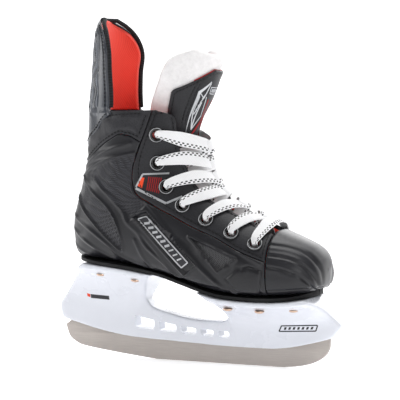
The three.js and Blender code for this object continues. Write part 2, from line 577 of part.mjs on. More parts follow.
// ---------------------------------------------------------------- lace
// One flat lace: a bar over the lowest pair of eyelets, then two strands that cross the tongue up to the top
// pair, where both ends are tucked inside the boot. Each stop: point, normal, width, thickness.
const UNDER = LINING_IN - 3.4;
const NARROW = [4.1, 2.1], WIDE = [LACE_WIDTH, LACE_THICK];
function stop(s, t, out, size) {
  const at = new THREE.Vector3(...onLast(s, t, out));
  const normal = at.clone().sub(new THREE.Vector3(...onLast(s, t, out - 1))).normalize();
  return { at, normal, size };
}
function holeStops(index, side, inward) {
  const frame = eyeletFrame(side, EYELETS[index]);
  const [s, t] = EYELETS[index];
  const lift = Math.sign(stop(s, side * t, 0, WIDE).at.y) * side;
  // Beside the hole, the lace's flat side looks toward the throat.
  const toThroat = new THREE.Vector3(...onLast(s, side * (t + 0.05), 0)).sub(frame.at).normalize();
  const turned = toThroat.clone().multiplyScalar(lift);
  const hole = (distance, normal, size) => ({ at: new THREE.Vector3(...along(frame, distance)), normal, size });
  const stops = [
    { ...hole(2.6, frame.normal.clone().addScaledVector(turned, -0.8).normalize(), [6, 1.8]),
      at: new THREE.Vector3(...along(frame, 3.7)).addScaledVector(toThroat, 2) },
    hole(1.8, turned.clone().negate(), NARROW),
    hole(-1, turned.clone().negate(), NARROW),
    hole(LINING_IN - 1, turned.clone().negate(), NARROW)];
  return inward ? stops : stops.reverse();
}
// The station where the line along the boot at t passes nearest to a share of the way between two points.
function stationNear(t, from, to, share) {
  const x = lerp(from.x, to.x, share), z = lerp(from.z, to.z, share);
  let best = TOE_SEAM, gap = Infinity;
  for (let s = TOE_SEAM; s <= LAST_STATION; s += 0.05) {
    const p = lastPoint(s, t);
    const away = Math.hypot(p.x - x, p.z - z);
    if (away < gap) [best, gap] = [s, away];
  }
  return best;
}
function strand(startSide) {
  const stops = [];
  let side = startSide;
  for (let i = 0; i < EYELET_COUNT - 1; i++) {
    const low = eyeletFrame(side, EYELETS[i]).at, high = eyeletFrame(side, EYELETS[i + 1]).at;
    const sag = 0.4 * Math.pow(Math.max(i - 2, 0) / 3, 1.5);
    const leave = stationNear(0.8, low, high, Math.min(0.2, 0.4 - sag));
    const cross = stationNear(1, low, high, 0.5 - sag);
    const arrive = stationNear(0.83, low, high, 0.8);
    stops.push(stop(leave, side * (throatEdge(leave) - 0.05), UNDER, WIDE));
    stops.push(stop(lerp(leave, cross, 0.3), side * (throatEdge(leave) + 0.05), UNDER + 4, WIDE));
    const over = (i % 2 === 0) === (startSide > 0) ? 0 : LACE_THICK + 2 * GAP;
    const lift = 1.2 + over + (i > 2 ? 1.2 : 0) + 2.6 * Math.max(i - 3, 0);
    stops.push(stop(cross, side * 0.998, lift, WIDE));
    side = -side;
    stops.push(stop(arrive, side * (throatEdge(arrive) + 0.01), 2.2, WIDE));
    stops.push(...holeStops(i + 1, side, true));
  }
  const [s, t] = EYELETS[EYELET_COUNT - 1];
  stops.push(stop(s - 0.7, side * (t - 0.08), UNDER - 0.6, WIDE),
    stop(s - 1.6, side * (t - 0.14), UNDER - 0.6, WIDE));
  return stops;
}

function laceStops() {
  const s = EYELETS[0][0] - 0.12;
  const bar = [stop(s, -0.9, 3.4, WIDE), stop(s, 0.998, 3.6, WIDE), stop(s, 0.9, 3.4, WIDE)];
  const left = [...holeStops(0, -1, true), ...strand(-1)];
  const right = [...holeStops(0, 1, true), ...strand(1)];
  return [...left.reverse(), ...bar, ...right];
}
// A flat band through the stops; its four edges turn with the normals.
function band(stops, steps) {
  const curve = new THREE.CatmullRomCurve3(stops.map(({ at }) => at), false, 'centripetal');
  const count = (stops.length - 1) * steps;
  const rings = [];
  for (let i = 0; i <= count; i++) {
    const u = i / count;
    const k = Math.min(Math.floor(u * (stops.length - 1)), stops.length - 2);
    const f = u * (stops.length - 1) - k;
    const [from, to] = [stops[k], stops[k + 1]];
    const centre = curve.getPoint(u), tangent = curve.getTangent(u);
    const normal = from.normal.clone().lerp(to.normal, f);
    const across = tangent.cross(normal).normalize();
    const up = across.clone().cross(curve.getTangent(u)).normalize();
    const width = lerp(from.size[0], to.size[0], f) / 2, thick = lerp(from.size[1], to.size[1], f) / 2;
    const corner = (x, y) => centre.clone().addScaledVector(across, x).addScaledVector(up, y).toArray();
    rings.push([corner(-width, -thick), corner(width, -thick), corner(width, thick), corner(-width, thick)]);
  }
  const faces = [];
  for (let i = 0; i < count; i++) {
    for (let j = 0; j < 4; j++) {
      const a = 4 * i + j, b = 4 * i + (j + 1) % 4;
      faces.push(a, a + 4, b + 4, a, b + 4, b);
    }
  }
  const end = 4 * count;
  faces.push(0, 1, 2, 0, 2, 3, end, end + 2, end + 1, end, end + 3, end + 2);
  const geometry = new THREE.BufferGeometry();
  geometry.setAttribute('position', new THREE.Float32BufferAttribute(rings.flat(2), 3));
  geometry.setIndex(faces);
  return geometry;
}
add('lace', toSolid(band(laceStops(), 1)), 'lace');

export default skate;
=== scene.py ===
"""Looks of a junior ice hockey skate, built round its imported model."""

import math

import bpy
import numpy as np
from mathutils import Matrix, Vector, noise


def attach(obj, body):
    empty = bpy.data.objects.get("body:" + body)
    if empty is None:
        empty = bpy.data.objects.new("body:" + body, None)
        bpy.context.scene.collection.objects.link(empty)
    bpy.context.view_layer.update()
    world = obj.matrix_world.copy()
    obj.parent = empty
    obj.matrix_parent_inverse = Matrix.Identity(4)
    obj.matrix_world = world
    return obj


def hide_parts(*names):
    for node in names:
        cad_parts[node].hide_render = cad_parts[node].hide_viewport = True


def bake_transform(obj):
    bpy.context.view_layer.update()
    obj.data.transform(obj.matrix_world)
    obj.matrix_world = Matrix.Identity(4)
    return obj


bl_info = {
    "name": "Ice Hockey Skate",
    "version": (1, 0, 0),
    "blender": (4, 5, 0),
    "location": "View3D > Sidebar > Skate",
    "description": "Builds the moulded boot, holder, blade, tongue, guard and lace of a junior hockey skate",
    "category": "Object",
}

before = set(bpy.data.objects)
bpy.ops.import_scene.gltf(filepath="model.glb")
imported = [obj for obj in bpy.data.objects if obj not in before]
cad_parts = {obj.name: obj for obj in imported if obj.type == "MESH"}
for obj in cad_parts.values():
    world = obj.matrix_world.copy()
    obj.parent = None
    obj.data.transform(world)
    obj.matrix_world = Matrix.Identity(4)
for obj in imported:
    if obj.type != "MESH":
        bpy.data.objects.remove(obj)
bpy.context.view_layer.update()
MM = 0.001
SIDES = (("outer", -1.0), ("inner", 1.0))


# ------------------------------------------------------------------ settings
class SkateSizes(bpy.types.PropertyGroup):
    """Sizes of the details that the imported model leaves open."""
    stitch_length: bpy.props.FloatProperty(
        name="Stitch length", description="Length of one stitch", default=2.5 * MM, unit="LENGTH")
    stitch_width: bpy.props.FloatProperty(
        name="Stitch width", description="Thickness of the sewing thread", default=0.75 * MM, unit="LENGTH")
    ridge_height: bpy.props.FloatProperty(
        name="Ridge height", description="Height of the ridges moulded in the quarter", default=1.25 * MM,
        unit="LENGTH")
    lace_width: bpy.props.FloatProperty(
        name="Lace width", description="Width of the flat lace", default=10.2 * MM, unit="LENGTH")
    lace_thickness: bpy.props.FloatProperty(
        name="Lace thickness", description="Thickness of the flat lace", default=1.3 * MM, unit="LENGTH")
    wall: bpy.props.FloatProperty(
        name="Shell wall", description="Thickness of the moulded shell", default=2.2 * MM, unit="LENGTH")
    felt_thickness: bpy.props.FloatProperty(
        name="Felt thickness", description="Thickness of the tongue's felt", default=8 * MM, unit="LENGTH")


class SkateColours(bpy.types.PropertyGroup):
    """Base colours of the finishes."""
    shell: bpy.props.FloatVectorProperty(
        name="Shell", description="Moulded quarter and toe cap", default=(0.008, 0.008, 0.010), subtype="COLOR")
    leather: bpy.props.FloatVectorProperty(
        name="Leather", description="Facing, collar and tongue cover", default=(0.014, 0.014, 0.016),
        subtype="COLOR")
    guard: bpy.props.FloatVectorProperty(
        name="Guard", description="Glossy tendon guard", default=(0.040, 0.045, 0.056), subtype="COLOR")
    lining: bpy.props.FloatVectorProperty(
        name="Lining", description="Red twill lining", default=(0.98, 0.062, 0.036), subtype="COLOR")
    felt: bpy.props.FloatVectorProperty(
        name="Felt", description="White tongue felt", default=(0.86, 0.85, 0.85), subtype="COLOR")
    holder: bpy.props.FloatVectorProperty(
        name="Holder", description="White blade holder", default=(0.72, 0.74, 0.80), subtype="COLOR")
    steel: bpy.props.FloatVectorProperty(
        name="Steel", description="Ground blade steel", default=(0.42, 0.385, 0.36), subtype="COLOR")
    lace: bpy.props.FloatVectorProperty(
        name="Lace", description="White lace", default=(0.93, 0.93, 0.95), subtype="COLOR")
    # The silver also colours the painted highlight rings on the eyelets.
    silver: bpy.props.FloatVectorProperty(
        name="Silver", description="Silver print and badge", default=(0.50, 0.51, 0.53), subtype="COLOR")


# ------------------------------------------------------------------ curves and the boot's surface
def through(rows):
    """A smooth curve through (place, value) rows, as a function of an array of places."""
    places = np.array([row[0] for row in rows], float)
    values = np.array([row[1] for row in rows], float)
    low = np.maximum(np.arange(len(rows)) - 1, 0)
    high = np.minimum(np.arange(len(rows)) + 1, len(rows) - 1)
    slopes = (values[high] - values[low]) / (places[high] - places[low])

    def curve(x):
        x = np.asarray(x, float)
        i = np.clip(np.searchsorted(places, x), 1, len(places) - 1)
        h = places[i] - places[i - 1]
        t = np.clip((x - places[i - 1]) / h, 0, 1)
        t2, t3 = t * t, t * t * t
        return (values[i - 1] * (2 * t3 - 3 * t2 + 1) + slopes[i - 1] * h * (t3 - 2 * t2 + t)
                + values[i] * (3 * t2 - 2 * t3) + slopes[i] * h * (t3 - t2))
    return curve


# The boot's stations, in millimetres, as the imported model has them: sole x, z, instep x, z, half width,
# place of the widest point, squareness at the sole and at the instep.
STATIONS = (
    (102.6, 71, 102.6, 71, 0, 0.4, 2.4, 2.2),
    (101.6, 61, 101, 79.5, 12.5, 0.4, 3, 2.2),
    (97.5, 57.6, 95.5, 87, 22.5, 0.4, 3.4, 2.1),
    (88, 54.9, 85, 92.4, 30, 0.4, 4, 2.1),
    (67.5, 52.8, 67.5, 99.5, 35, 0.4, 4.4, 2.1),
    (46, 52.7, 50, 107.5, 36, 0.4, 4.4, 2),
    (20, 55.5, 35, 116, 34.5, 0.42, 4.2, 2),
    (-8, 63.2, 21, 126, 32.5, 0.44, 4, 2),
    (-36, 69.4, 12, 138, 31.5, 0.46, 3.7, 2.1),
    (-64, 73, 7, 149, 31, 0.48, 3.2, 2.2),
    (-89, 75.6, 4.5, 156, 30.5, 0.5, 2.5, 2.4),
    (-95, 88, 3, 162, 30.5, 0.5, 2.1, 2.5),
    (-95.4, 102, 2, 167, 31, 0.5, 2, 2.6),
    (-90.5, 122, 1.2, 172, 31.5, 0.5, 1.95, 2.7),
    (-85.5, 140, 0.8, 176.5, 32, 0.5, 1.95, 2.8),
    (-82.5, 160, 0.4, 180.5, 32, 0.5, 1.95, 2.9),
    (-81.5, 183, 0, 184, 32, 0.5, 1.95, 3),
)
LAST_STATION = len(STATIONS) - 1
COLUMNS = [through([(i, row[n]) for i, row in enumerate(STATIONS)]) for n in range(8)]
TOE_SWING = 3.0
BOOT_LENGTH = 104.0


def paired(a, b):
    return np.broadcast_arrays(np.asarray(a, float), np.asarray(b, float))


def last_point(s, t):
    """Points of the boot's outer surface in millimetres: s is the station, t runs from 0 at the sole or heel
    to 1 at the instep, below zero on the outer side."""
    s, t = paired(s, t)
    low_x, low_z, high_x, high_z, half, widest, sole_square, instep_square = [f(s) for f in COLUMNS]
    angle = np.minimum(np.abs(t), 1) * math.pi
    square = np.where(angle < math.pi / 2, sole_square, instep_square)
    across = np.maximum(np.sin(angle), 0) ** (2 / square)
    along = np.abs(np.cos(angle)) ** (2 / square) * np.sign(np.cos(angle))
    climb = np.where(along > 0, widest * (1 - along), widest - (1 - widest) * along)
    x = low_x + (high_x - low_x) * climb
    z = low_z + (high_z - low_z) * climb
    y = np.sign(t) * across * half + TOE_SWING * (np.maximum(x, 0) / BOOT_LENGTH) ** 2
    return np.stack([x, y, z], axis=-1)


def unit(v):
    return v / np.maximum(np.linalg.norm(v, axis=-1, keepdims=True), 1e-9)


def last_normal(s, t):
    d = 0.02
    s, t = paired(s, t)
    s0 = np.clip(s, 0.12, LAST_STATION - d)
    t0 = np.where(t < 0, -1.0, 1.0) * np.clip(np.abs(t), d, 1 - d)
    along = last_point(s0 + d, t0) - last_point(s0 - d, t0)
    around = last_point(s0, t0 + d / 2) - last_point(s0, t0 - d / 2)
    normal = unit(np.cross(along, around))
    edge = (np.abs(t) < d) | (np.abs(t) > 1 - d)
    normal[..., 1] = np.where(edge, 0, normal[..., 1])
    normal = unit(normal)
    normal[s < 0.12] = (1, 0, 0)
    return normal


def on_last(s, t, out=0.0):
    """Surface points moved out along the normal, in millimetres."""
    return last_point(s, t) + last_normal(s, t) * np.asarray(out, float)[..., None]


class SideFinder:
    """Finds the surface place (s, t) of a point given in side view (x, z), on one side of the boot."""

    def __init__(self):
        self.s, self.t = np.meshgrid(np.linspace(0.4, LAST_STATION, 400), np.linspace(0.03, 0.97, 240),
                                     indexing="ij")
        points = last_point(self.s, self.t)
        self.x, self.z = points[..., 0], points[..., 2]
        self.ds = np.stack([np.gradient(self.x, axis=0), np.gradient(self.z, axis=0)], -1)
        self.dt = np.stack([np.gradient(self.x, axis=1), np.gradient(self.z, axis=1)], -1)

    def find(self, x, z):
        gap = (self.x - x) ** 2 + (self.z - z) ** 2
        i, j = np.unravel_index(gap.argmin(), gap.shape)
        matrix = np.stack([self.ds[i, j], self.dt[i, j]], axis=1)
        step = np.clip(np.linalg.lstsq(matrix, np.array([x - self.x[i, j], z - self.z[i, j]]), rcond=None)[0],
                       -1, 1)
        return (self.s[i, j] + step[0] * (self.s[1, 0] - self.s[0, 0]),
                self.t[i, j] + step[1] * (self.t[0, 1] - self.t[0, 0]))


FINDER = SideFinder()


def smooth_line(points, steps=10):
    """A Catmull-Rom line through (x, z) points."""
    p = np.array(points, float)
    ends = np.vstack([2 * p[0] - p[1], p, 2 * p[-1] - p[-2]])
    out = []
    for i in range(len(p) - 1):
        a, b, c, d = ends[i:i + 4]
        for f in np.arange(steps) / steps:
            out.append(0.5 * (2 * b + (c - a) * f + (2 * a - 5 * b + 4 * c - d) * f ** 2
                              + (3 * b - a - 3 * c + d) * f ** 3))
    return np.array(out + [p[-1]])


def line_distance(x, z, line):
    """Distance from every (x, z) to a line of points."""
    best = np.full(x.shape, 1e9)
    for (x0, z0), (x1, z1) in zip(line[:-1], line[1:]):
        dx, dz = x1 - x0, z1 - z0
        f = np.clip(((x - x0) * dx + (z - z0) * dz) / (dx * dx + dz * dz + 1e-12), 0, 1)
        best = np.minimum(best, np.hypot(x - x0 - f * dx, z - z0 - f * dz))
    return best


def depth_inside(x, z, outline):
    """How far each (x, z) lies inside a closed outline; below zero outside."""
    outline = np.asarray(outline, float)
    inside = np.zeros(x.shape, bool)
    closed = np.vstack([outline, outline[:1]])
    for (x0, z0), (x1, z1) in zip(closed[:-1], closed[1:]):
        crosses = (z0 > z) != (z1 > z)
        inside ^= crosses & (x < (x1 - x0) * (z - z0) / (z1 - z0 + 1e-12) + x0)
    return np.where(inside, 1, -1) * line_distance(x, z, closed)


def ease(x, low, high):
    f = np.clip((x - low) / (high - low), 0, 1)
    return f * f * (3 - 2 * f)


# ------------------------------------------------------------------ mesh helpers
def deselect():
    bpy.ops.object.select_all(action="DESELECT")


def make_active(piece):
    deselect()
    piece.select_set(True)
    bpy.context.view_layer.objects.active = piece


def apply_modifier(piece, kind, **values):
    make_active(piece)
    modifier = piece.modifiers.new(kind.title(), kind)
    for key, value in values.items():
        setattr(modifier, key, value)
    bpy.ops.object.modifier_apply(modifier=modifier.name)


def shade(piece, degrees=35):
    make_active(piece)
    bpy.ops.object.shade_smooth_by_angle(angle=math.radians(degrees))


def settle(piece, name, body, replaced=(), material=None, degrees=35):
    """Names a finished piece, gives it its finish and body, and says what it stands for."""
    piece.name = piece.data.name = name
    if material is not None:
        piece.data.materials.clear()
        piece.data.materials.append(material)
    if degrees:
        shade(piece, degrees)
    if replaced:
        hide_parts(*replaced)
    if isinstance(body, str):
        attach(piece, body)
    return piece


def merge(piece, distance=1e-5):
    make_active(piece)
    bpy.ops.object.mode_set(mode="EDIT")
    bpy.ops.mesh.select_all(action="SELECT")
    bpy.ops.mesh.remove_doubles(threshold=distance)
    bpy.ops.object.mode_set(mode="OBJECT")


def outward(piece):
    make_active(piece)
    bpy.ops.object.mode_set(mode="EDIT")
    bpy.ops.mesh.select_all(action="SELECT")
    bpy.ops.mesh.normals_make_consistent(inside=False)
    bpy.ops.object.mode_set(mode="OBJECT")


def point_attribute(piece, name, values):
    attribute = piece.data.attributes.new(name, "FLOAT", "POINT")
    attribute.data.foreach_set("value", np.asarray(values, np.float32).ravel())


def sheet_uv(points):
    """Row and column arc lengths in millimetres, so that patterns keep their scale."""
    down = np.linalg.norm(np.diff(points, axis=0), axis=-1).mean(axis=1)
    along = np.linalg.norm(np.diff(points, axis=1), axis=-1)
    u = np.concatenate([np.zeros((len(points), 1)), np.cumsum(along, axis=1)], axis=1)
    v = np.concatenate([[0], np.cumsum(down)])
    return np.stack([u, np.broadcast_to(v[:, None], u.shape)], axis=-1)


def mesh_piece(name, points, faces, uv=None):
    """A new piece from points in millimetres, its faces outward, with a UV place per point where given."""
    mesh = bpy.data.meshes.new(name)
    mesh.from_pydata((np.asarray(points, float) * MM).tolist(), [], faces)
    if uv is not None:
        corners = np.empty(len(mesh.loops), int)
        mesh.loops.foreach_get("vertex_index", corners)
        mesh.uv_layers.new(name="UVMap").data.foreach_set("uv", (uv[corners] * MM).ravel())
    piece = bpy.data.objects.new(name, mesh)
    bpy.context.collection.objects.link(piece)
    outward(piece)
    return piece


def slab_piece(outer, inner):
    """A closed slab between two same-sized grids, with its rim faces made by hand."""
    count = outer.shape[0] * outer.shape[1]
    index = np.arange(count).reshape(outer.shape[:2])
    quads = np.stack([index[:-1, :-1], index[1:, :-1], index[1:, 1:], index[:-1, 1:]], -1).reshape(-1, 4)
    rim = np.concatenate([index[0, :], index[1:, -1], index[-1, -2::-1], index[-2:0:-1, 0]])
    following = np.roll(rim, -1)
    faces = np.concatenate([quads, quads[:, ::-1] + count,
                            np.stack([rim, following, following + count, rim + count], -1)])
    uv = sheet_uv(outer).reshape(-1, 2)
    return mesh_piece("slab", np.concatenate([outer.reshape(-1, 3), inner.reshape(-1, 3)]), faces.tolist(),
                      np.concatenate([uv, uv]))


def unit_grid(rows, columns, low=0):
    """Row shares from 0 to 1 and column shares from low to 1."""
    return np.meshgrid(np.linspace(0, 1, rows), np.linspace(low, 1, columns), indexing="ij")


def between_corners(corners, rows, columns):
    """Two coordinates of a grid of places between four corners."""
    a, b = unit_grid(rows, columns)
    return [(1 - a) * ((1 - b) * p0 + b * p1) + a * ((1 - b) * p3 + b * p2) for p0, p1, p2, p3 in zip(*corners)]


# ------------------------------------------------------------------ finishes
def new_group(name, inputs, outputs):
    """An empty shader node group; inputs and outputs are (name, kind, default) rows."""
    group = bpy.data.node_groups.new(name, "ShaderNodeTree")
    for label, kind, default in inputs:
        socket = group.interface.new_socket(name=label, in_out="INPUT", socket_type=kind)
        if default is not None:
            socket.default_value = default
    for label, kind in outputs:
        group.interface.new_socket(name=label, in_out="OUTPUT", socket_type=kind)
    return group, group.nodes.new("NodeGroupInput"), group.nodes.new("NodeGroupOutput")


def math_node(tree, operation, first, second=None):
    node = tree.nodes.new("ShaderNodeMath")
    node.operation = operation
    for socket, value in zip(node.inputs, (first, second)):
        if value is None:
            continue
        if isinstance(value, (int, float)):
            socket.default_value = value
        else:
            tree.links.new(value, socket)
    return node.outputs[0]


def times(tree, first, second):
    return math_node(tree, "MULTIPLY", first, second)


def mix_colour(tree, factor, first, second):
    node = tree.nodes.new("ShaderNodeMix")
    node.data_type = "RGBA"
    for socket, value in ((node.inputs[0], factor), (node.inputs[6], first), (node.inputs[7], second)):
        if isinstance(value, (int, float)):
            socket.default_value = value
        elif isinstance(value, tuple):
            socket.default_value = (*value[:3], 1)
        else:
            tree.links.new(value, socket)
    return node.outputs[2]


def texture(tree, kind, vector, **values):
    node = tree.nodes.new(kind)
    tree.links.new(vector, node.inputs["Vector"])
    for key, value in values.items():
        if key in node.inputs:
            node.inputs[key].default_value = value
        else:
            setattr(node, key, value)
    return node


def ramp(tree, value, low, high, start=0.0, end=1.0):
    node = tree.nodes.new("ShaderNodeMapRange")
    tree.links.new(value, node.inputs["Value"])
    for socket, number in (("From Min", low), ("From Max", high), ("To Min", start), ("To Max", end)):
        node.inputs[socket].default_value = number
    return node.outputs[0]


def make_grain_group():
    """Fine leather-like grain: a height and a mask that darkens its creases, used as painted crease shade in the
    leather.
    """
    group, given, result = new_group(
        "Grain", [("Vector", "NodeSocketVector", None), ("Scale", "NodeSocketFloat", 900.0)],
        [("Height", "NodeSocketFloat"), ("Mask", "NodeSocketFloat")])
    cells = group.nodes.new("ShaderNodeTexVoronoi")
    cells.feature = "SMOOTH_F1"
    cells.inputs["Smoothness"].default_value = 0.4
    cloud = group.nodes.new("ShaderNodeTexNoise")
    cloud.inputs["Detail"].default_value = 3
    for node, share in ((cells, 1.0), (cloud, 0.35)):
        group.links.new(given.outputs["Vector"], node.inputs["Vector"])
        group.links.new(times(group, given.outputs["Scale"], share), node.inputs["Scale"])
    height = math_node(group, "ADD", cells.outputs["Distance"],
                       times(group, cloud.outputs[0], 0.6))
    group.links.new(height, result.inputs["Height"])
    group.links.new(ramp(group, cells.outputs["Distance"], 0.1, 0.6), result.inputs["Mask"])
    return group


def make_weave_group():
    """A twill weave on UV: a height and a mask of the upper threads. Pitch is threads per metre."""
    group, given, result = new_group(
        "Twill", [("Vector", "NodeSocketVector", None), ("Pitch", "NodeSocketFloat", 700.0),
                  ("Slant", "NodeSocketFloat", 1.0)],
        [("Height", "NodeSocketFloat"), ("Mask", "NodeSocketFloat")])
    split = group.nodes.new("ShaderNodeSeparateXYZ")
    group.links.new(given.outputs["Vector"], split.inputs[0])
    u = times(group, split.outputs[0], given.outputs["Pitch"])
    v = times(group, split.outputs[1], given.outputs["Pitch"])
    row = math_node(group, "FLOOR", v)
    slant = times(group, times(group, row, 0.25), given.outputs["Slant"])
    shifted = math_node(group, "FRACT", math_node(group, "ADD", times(group, u, 0.25), slant))
    float_length = math_node(group, "SINE", times(group, shifted, math.pi))
    thread = math_node(group, "SINE", times(group, math_node(group, "FRACT", v), math.pi))
    height = times(group, float_length, thread)
    group.links.new(height, result.inputs["Height"])
    group.links.new(ramp(group, height, 0.15, 0.8), result.inputs["Mask"])
    return group


def make_wear_group():
    """Scuffs, smears and dust: one slow mask and one scratched mask on Object coordinates."""
    group, given, result = new_group(
        "Wear", [("Vector", "NodeSocketVector", None), ("Scale", "NodeSocketFloat", 30.0)],
        [("Smear", "NodeSocketFloat"), ("Scratch", "NodeSocketFloat")])
    slow = texture(group, "ShaderNodeTexNoise", given.outputs["Vector"], Detail=5, Roughness=0.6)
    group.links.new(given.outputs["Scale"], slow.inputs["Scale"])
    stretch = group.nodes.new("ShaderNodeMapping")
    stretch.inputs["Scale"].default_value = (6, 6, 90)
    stretch.inputs["Rotation"].default_value = (0, 0.5, 0)
    group.links.new(given.outputs["Vector"], stretch.inputs["Vector"])
    fine = texture(group, "ShaderNodeTexNoise", stretch.outputs[0], Detail=2)
    group.links.new(given.outputs["Scale"], fine.inputs["Scale"])
    group.links.new(ramp(group, slow.outputs[0], 0.35, 0.7), result.inputs["Smear"])
    group.links.new(ramp(group, fine.outputs[0], 0.66, 0.74), result.inputs["Scratch"])
    return group


MATERIALS = {}


class Finish:
    """One material, kept under its key, with the shared groups at hand."""
    groups = {}

    def __init__(self, key, name, roughness, metallic=0.0, coat=0.0, coat_roughness=0.1, sheen=0.0, specular=0.5,
                 subsurface=0.0):
        self.material = MATERIALS[key] = bpy.data.materials.new(name)
        self.material.use_nodes = True
        self.tree = self.material.node_tree
        self.shader = self.tree.nodes["Principled BSDF"]
        self.place = self.tree.nodes.new("ShaderNodeTexCoord")
        for socket, value in (("Roughness", roughness), ("Metallic", metallic), ("Coat Weight", coat),
                              ("Coat Roughness", coat_roughness), ("Sheen Weight", sheen),
                              ("Specular IOR Level", specular), ("Subsurface Weight", subsurface),
                              ("Subsurface Radius", (0.004, 0.004, 0.004))):
            self.shader.inputs[socket].default_value = value
        self.normal = None

    def where(self, source="Object"):
        return self.place.outputs[source]

    def group(self, label, source="Object", **values):
        node = self.tree.nodes.new("ShaderNodeGroup")
        node.node_tree = Finish.groups[label]
        self.tree.links.new(self.where(source), node.inputs["Vector"])
        for key, value in values.items():
            node.inputs[key].default_value = value
        return node.outputs

    def attribute(self, name):
        node = self.tree.nodes.new("ShaderNodeAttribute")
        node.attribute_name = name
        return node.outputs["Fac"]

    def bump(self, height, distance, strength=1.0):
        node = self.tree.nodes.new("ShaderNodeBump")
        node.inputs["Distance"].default_value = distance
        node.inputs["Strength"].default_value = strength
        self.tree.links.new(height, node.inputs["Height"])
        if self.normal is not None:
            self.tree.links.new(self.normal, node.inputs["Normal"])
        self.normal = node.outputs[0]
        self.tree.links.new(self.normal, self.shader.inputs["Normal"])

    def set(self, socket, value):
        self.tree.links.new(value, self.shader.inputs[socket])

    def times(self, first, second):
        return times(self.tree, first, second)

    def mix(self, factor, first, second):
        return mix_colour(self.tree, factor, first, second)

    def ramp(self, value, low, high, start=0.0, end=1.0):
        return ramp(self.tree, value, low, high, start, end)


def dashed_rows(tree, along, across):
    """A mask of two rows of dark dashes beside one edge of the lace."""
    masks = []
    for row, phase in ((0.0026, 0.0), (0.0040, 0.45)):
        off = math_node(tree, "ABSOLUTE", math_node(tree, "SUBTRACT", across, row))
        on_row = math_node(tree, "LESS_THAN", off, 0.0005)
        wave = math_node(tree, "FRACT", math_node(tree, "ADD", times(tree, along, 290.0), phase))
        masks.append(times(tree, on_row, math_node(tree, "LESS_THAN", wave, 0.48)))
    return math_node(tree, "MAXIMUM", *masks)


def tint(colour, share):
    return tuple(min(c * share, 1.0) for c in colour[:3])


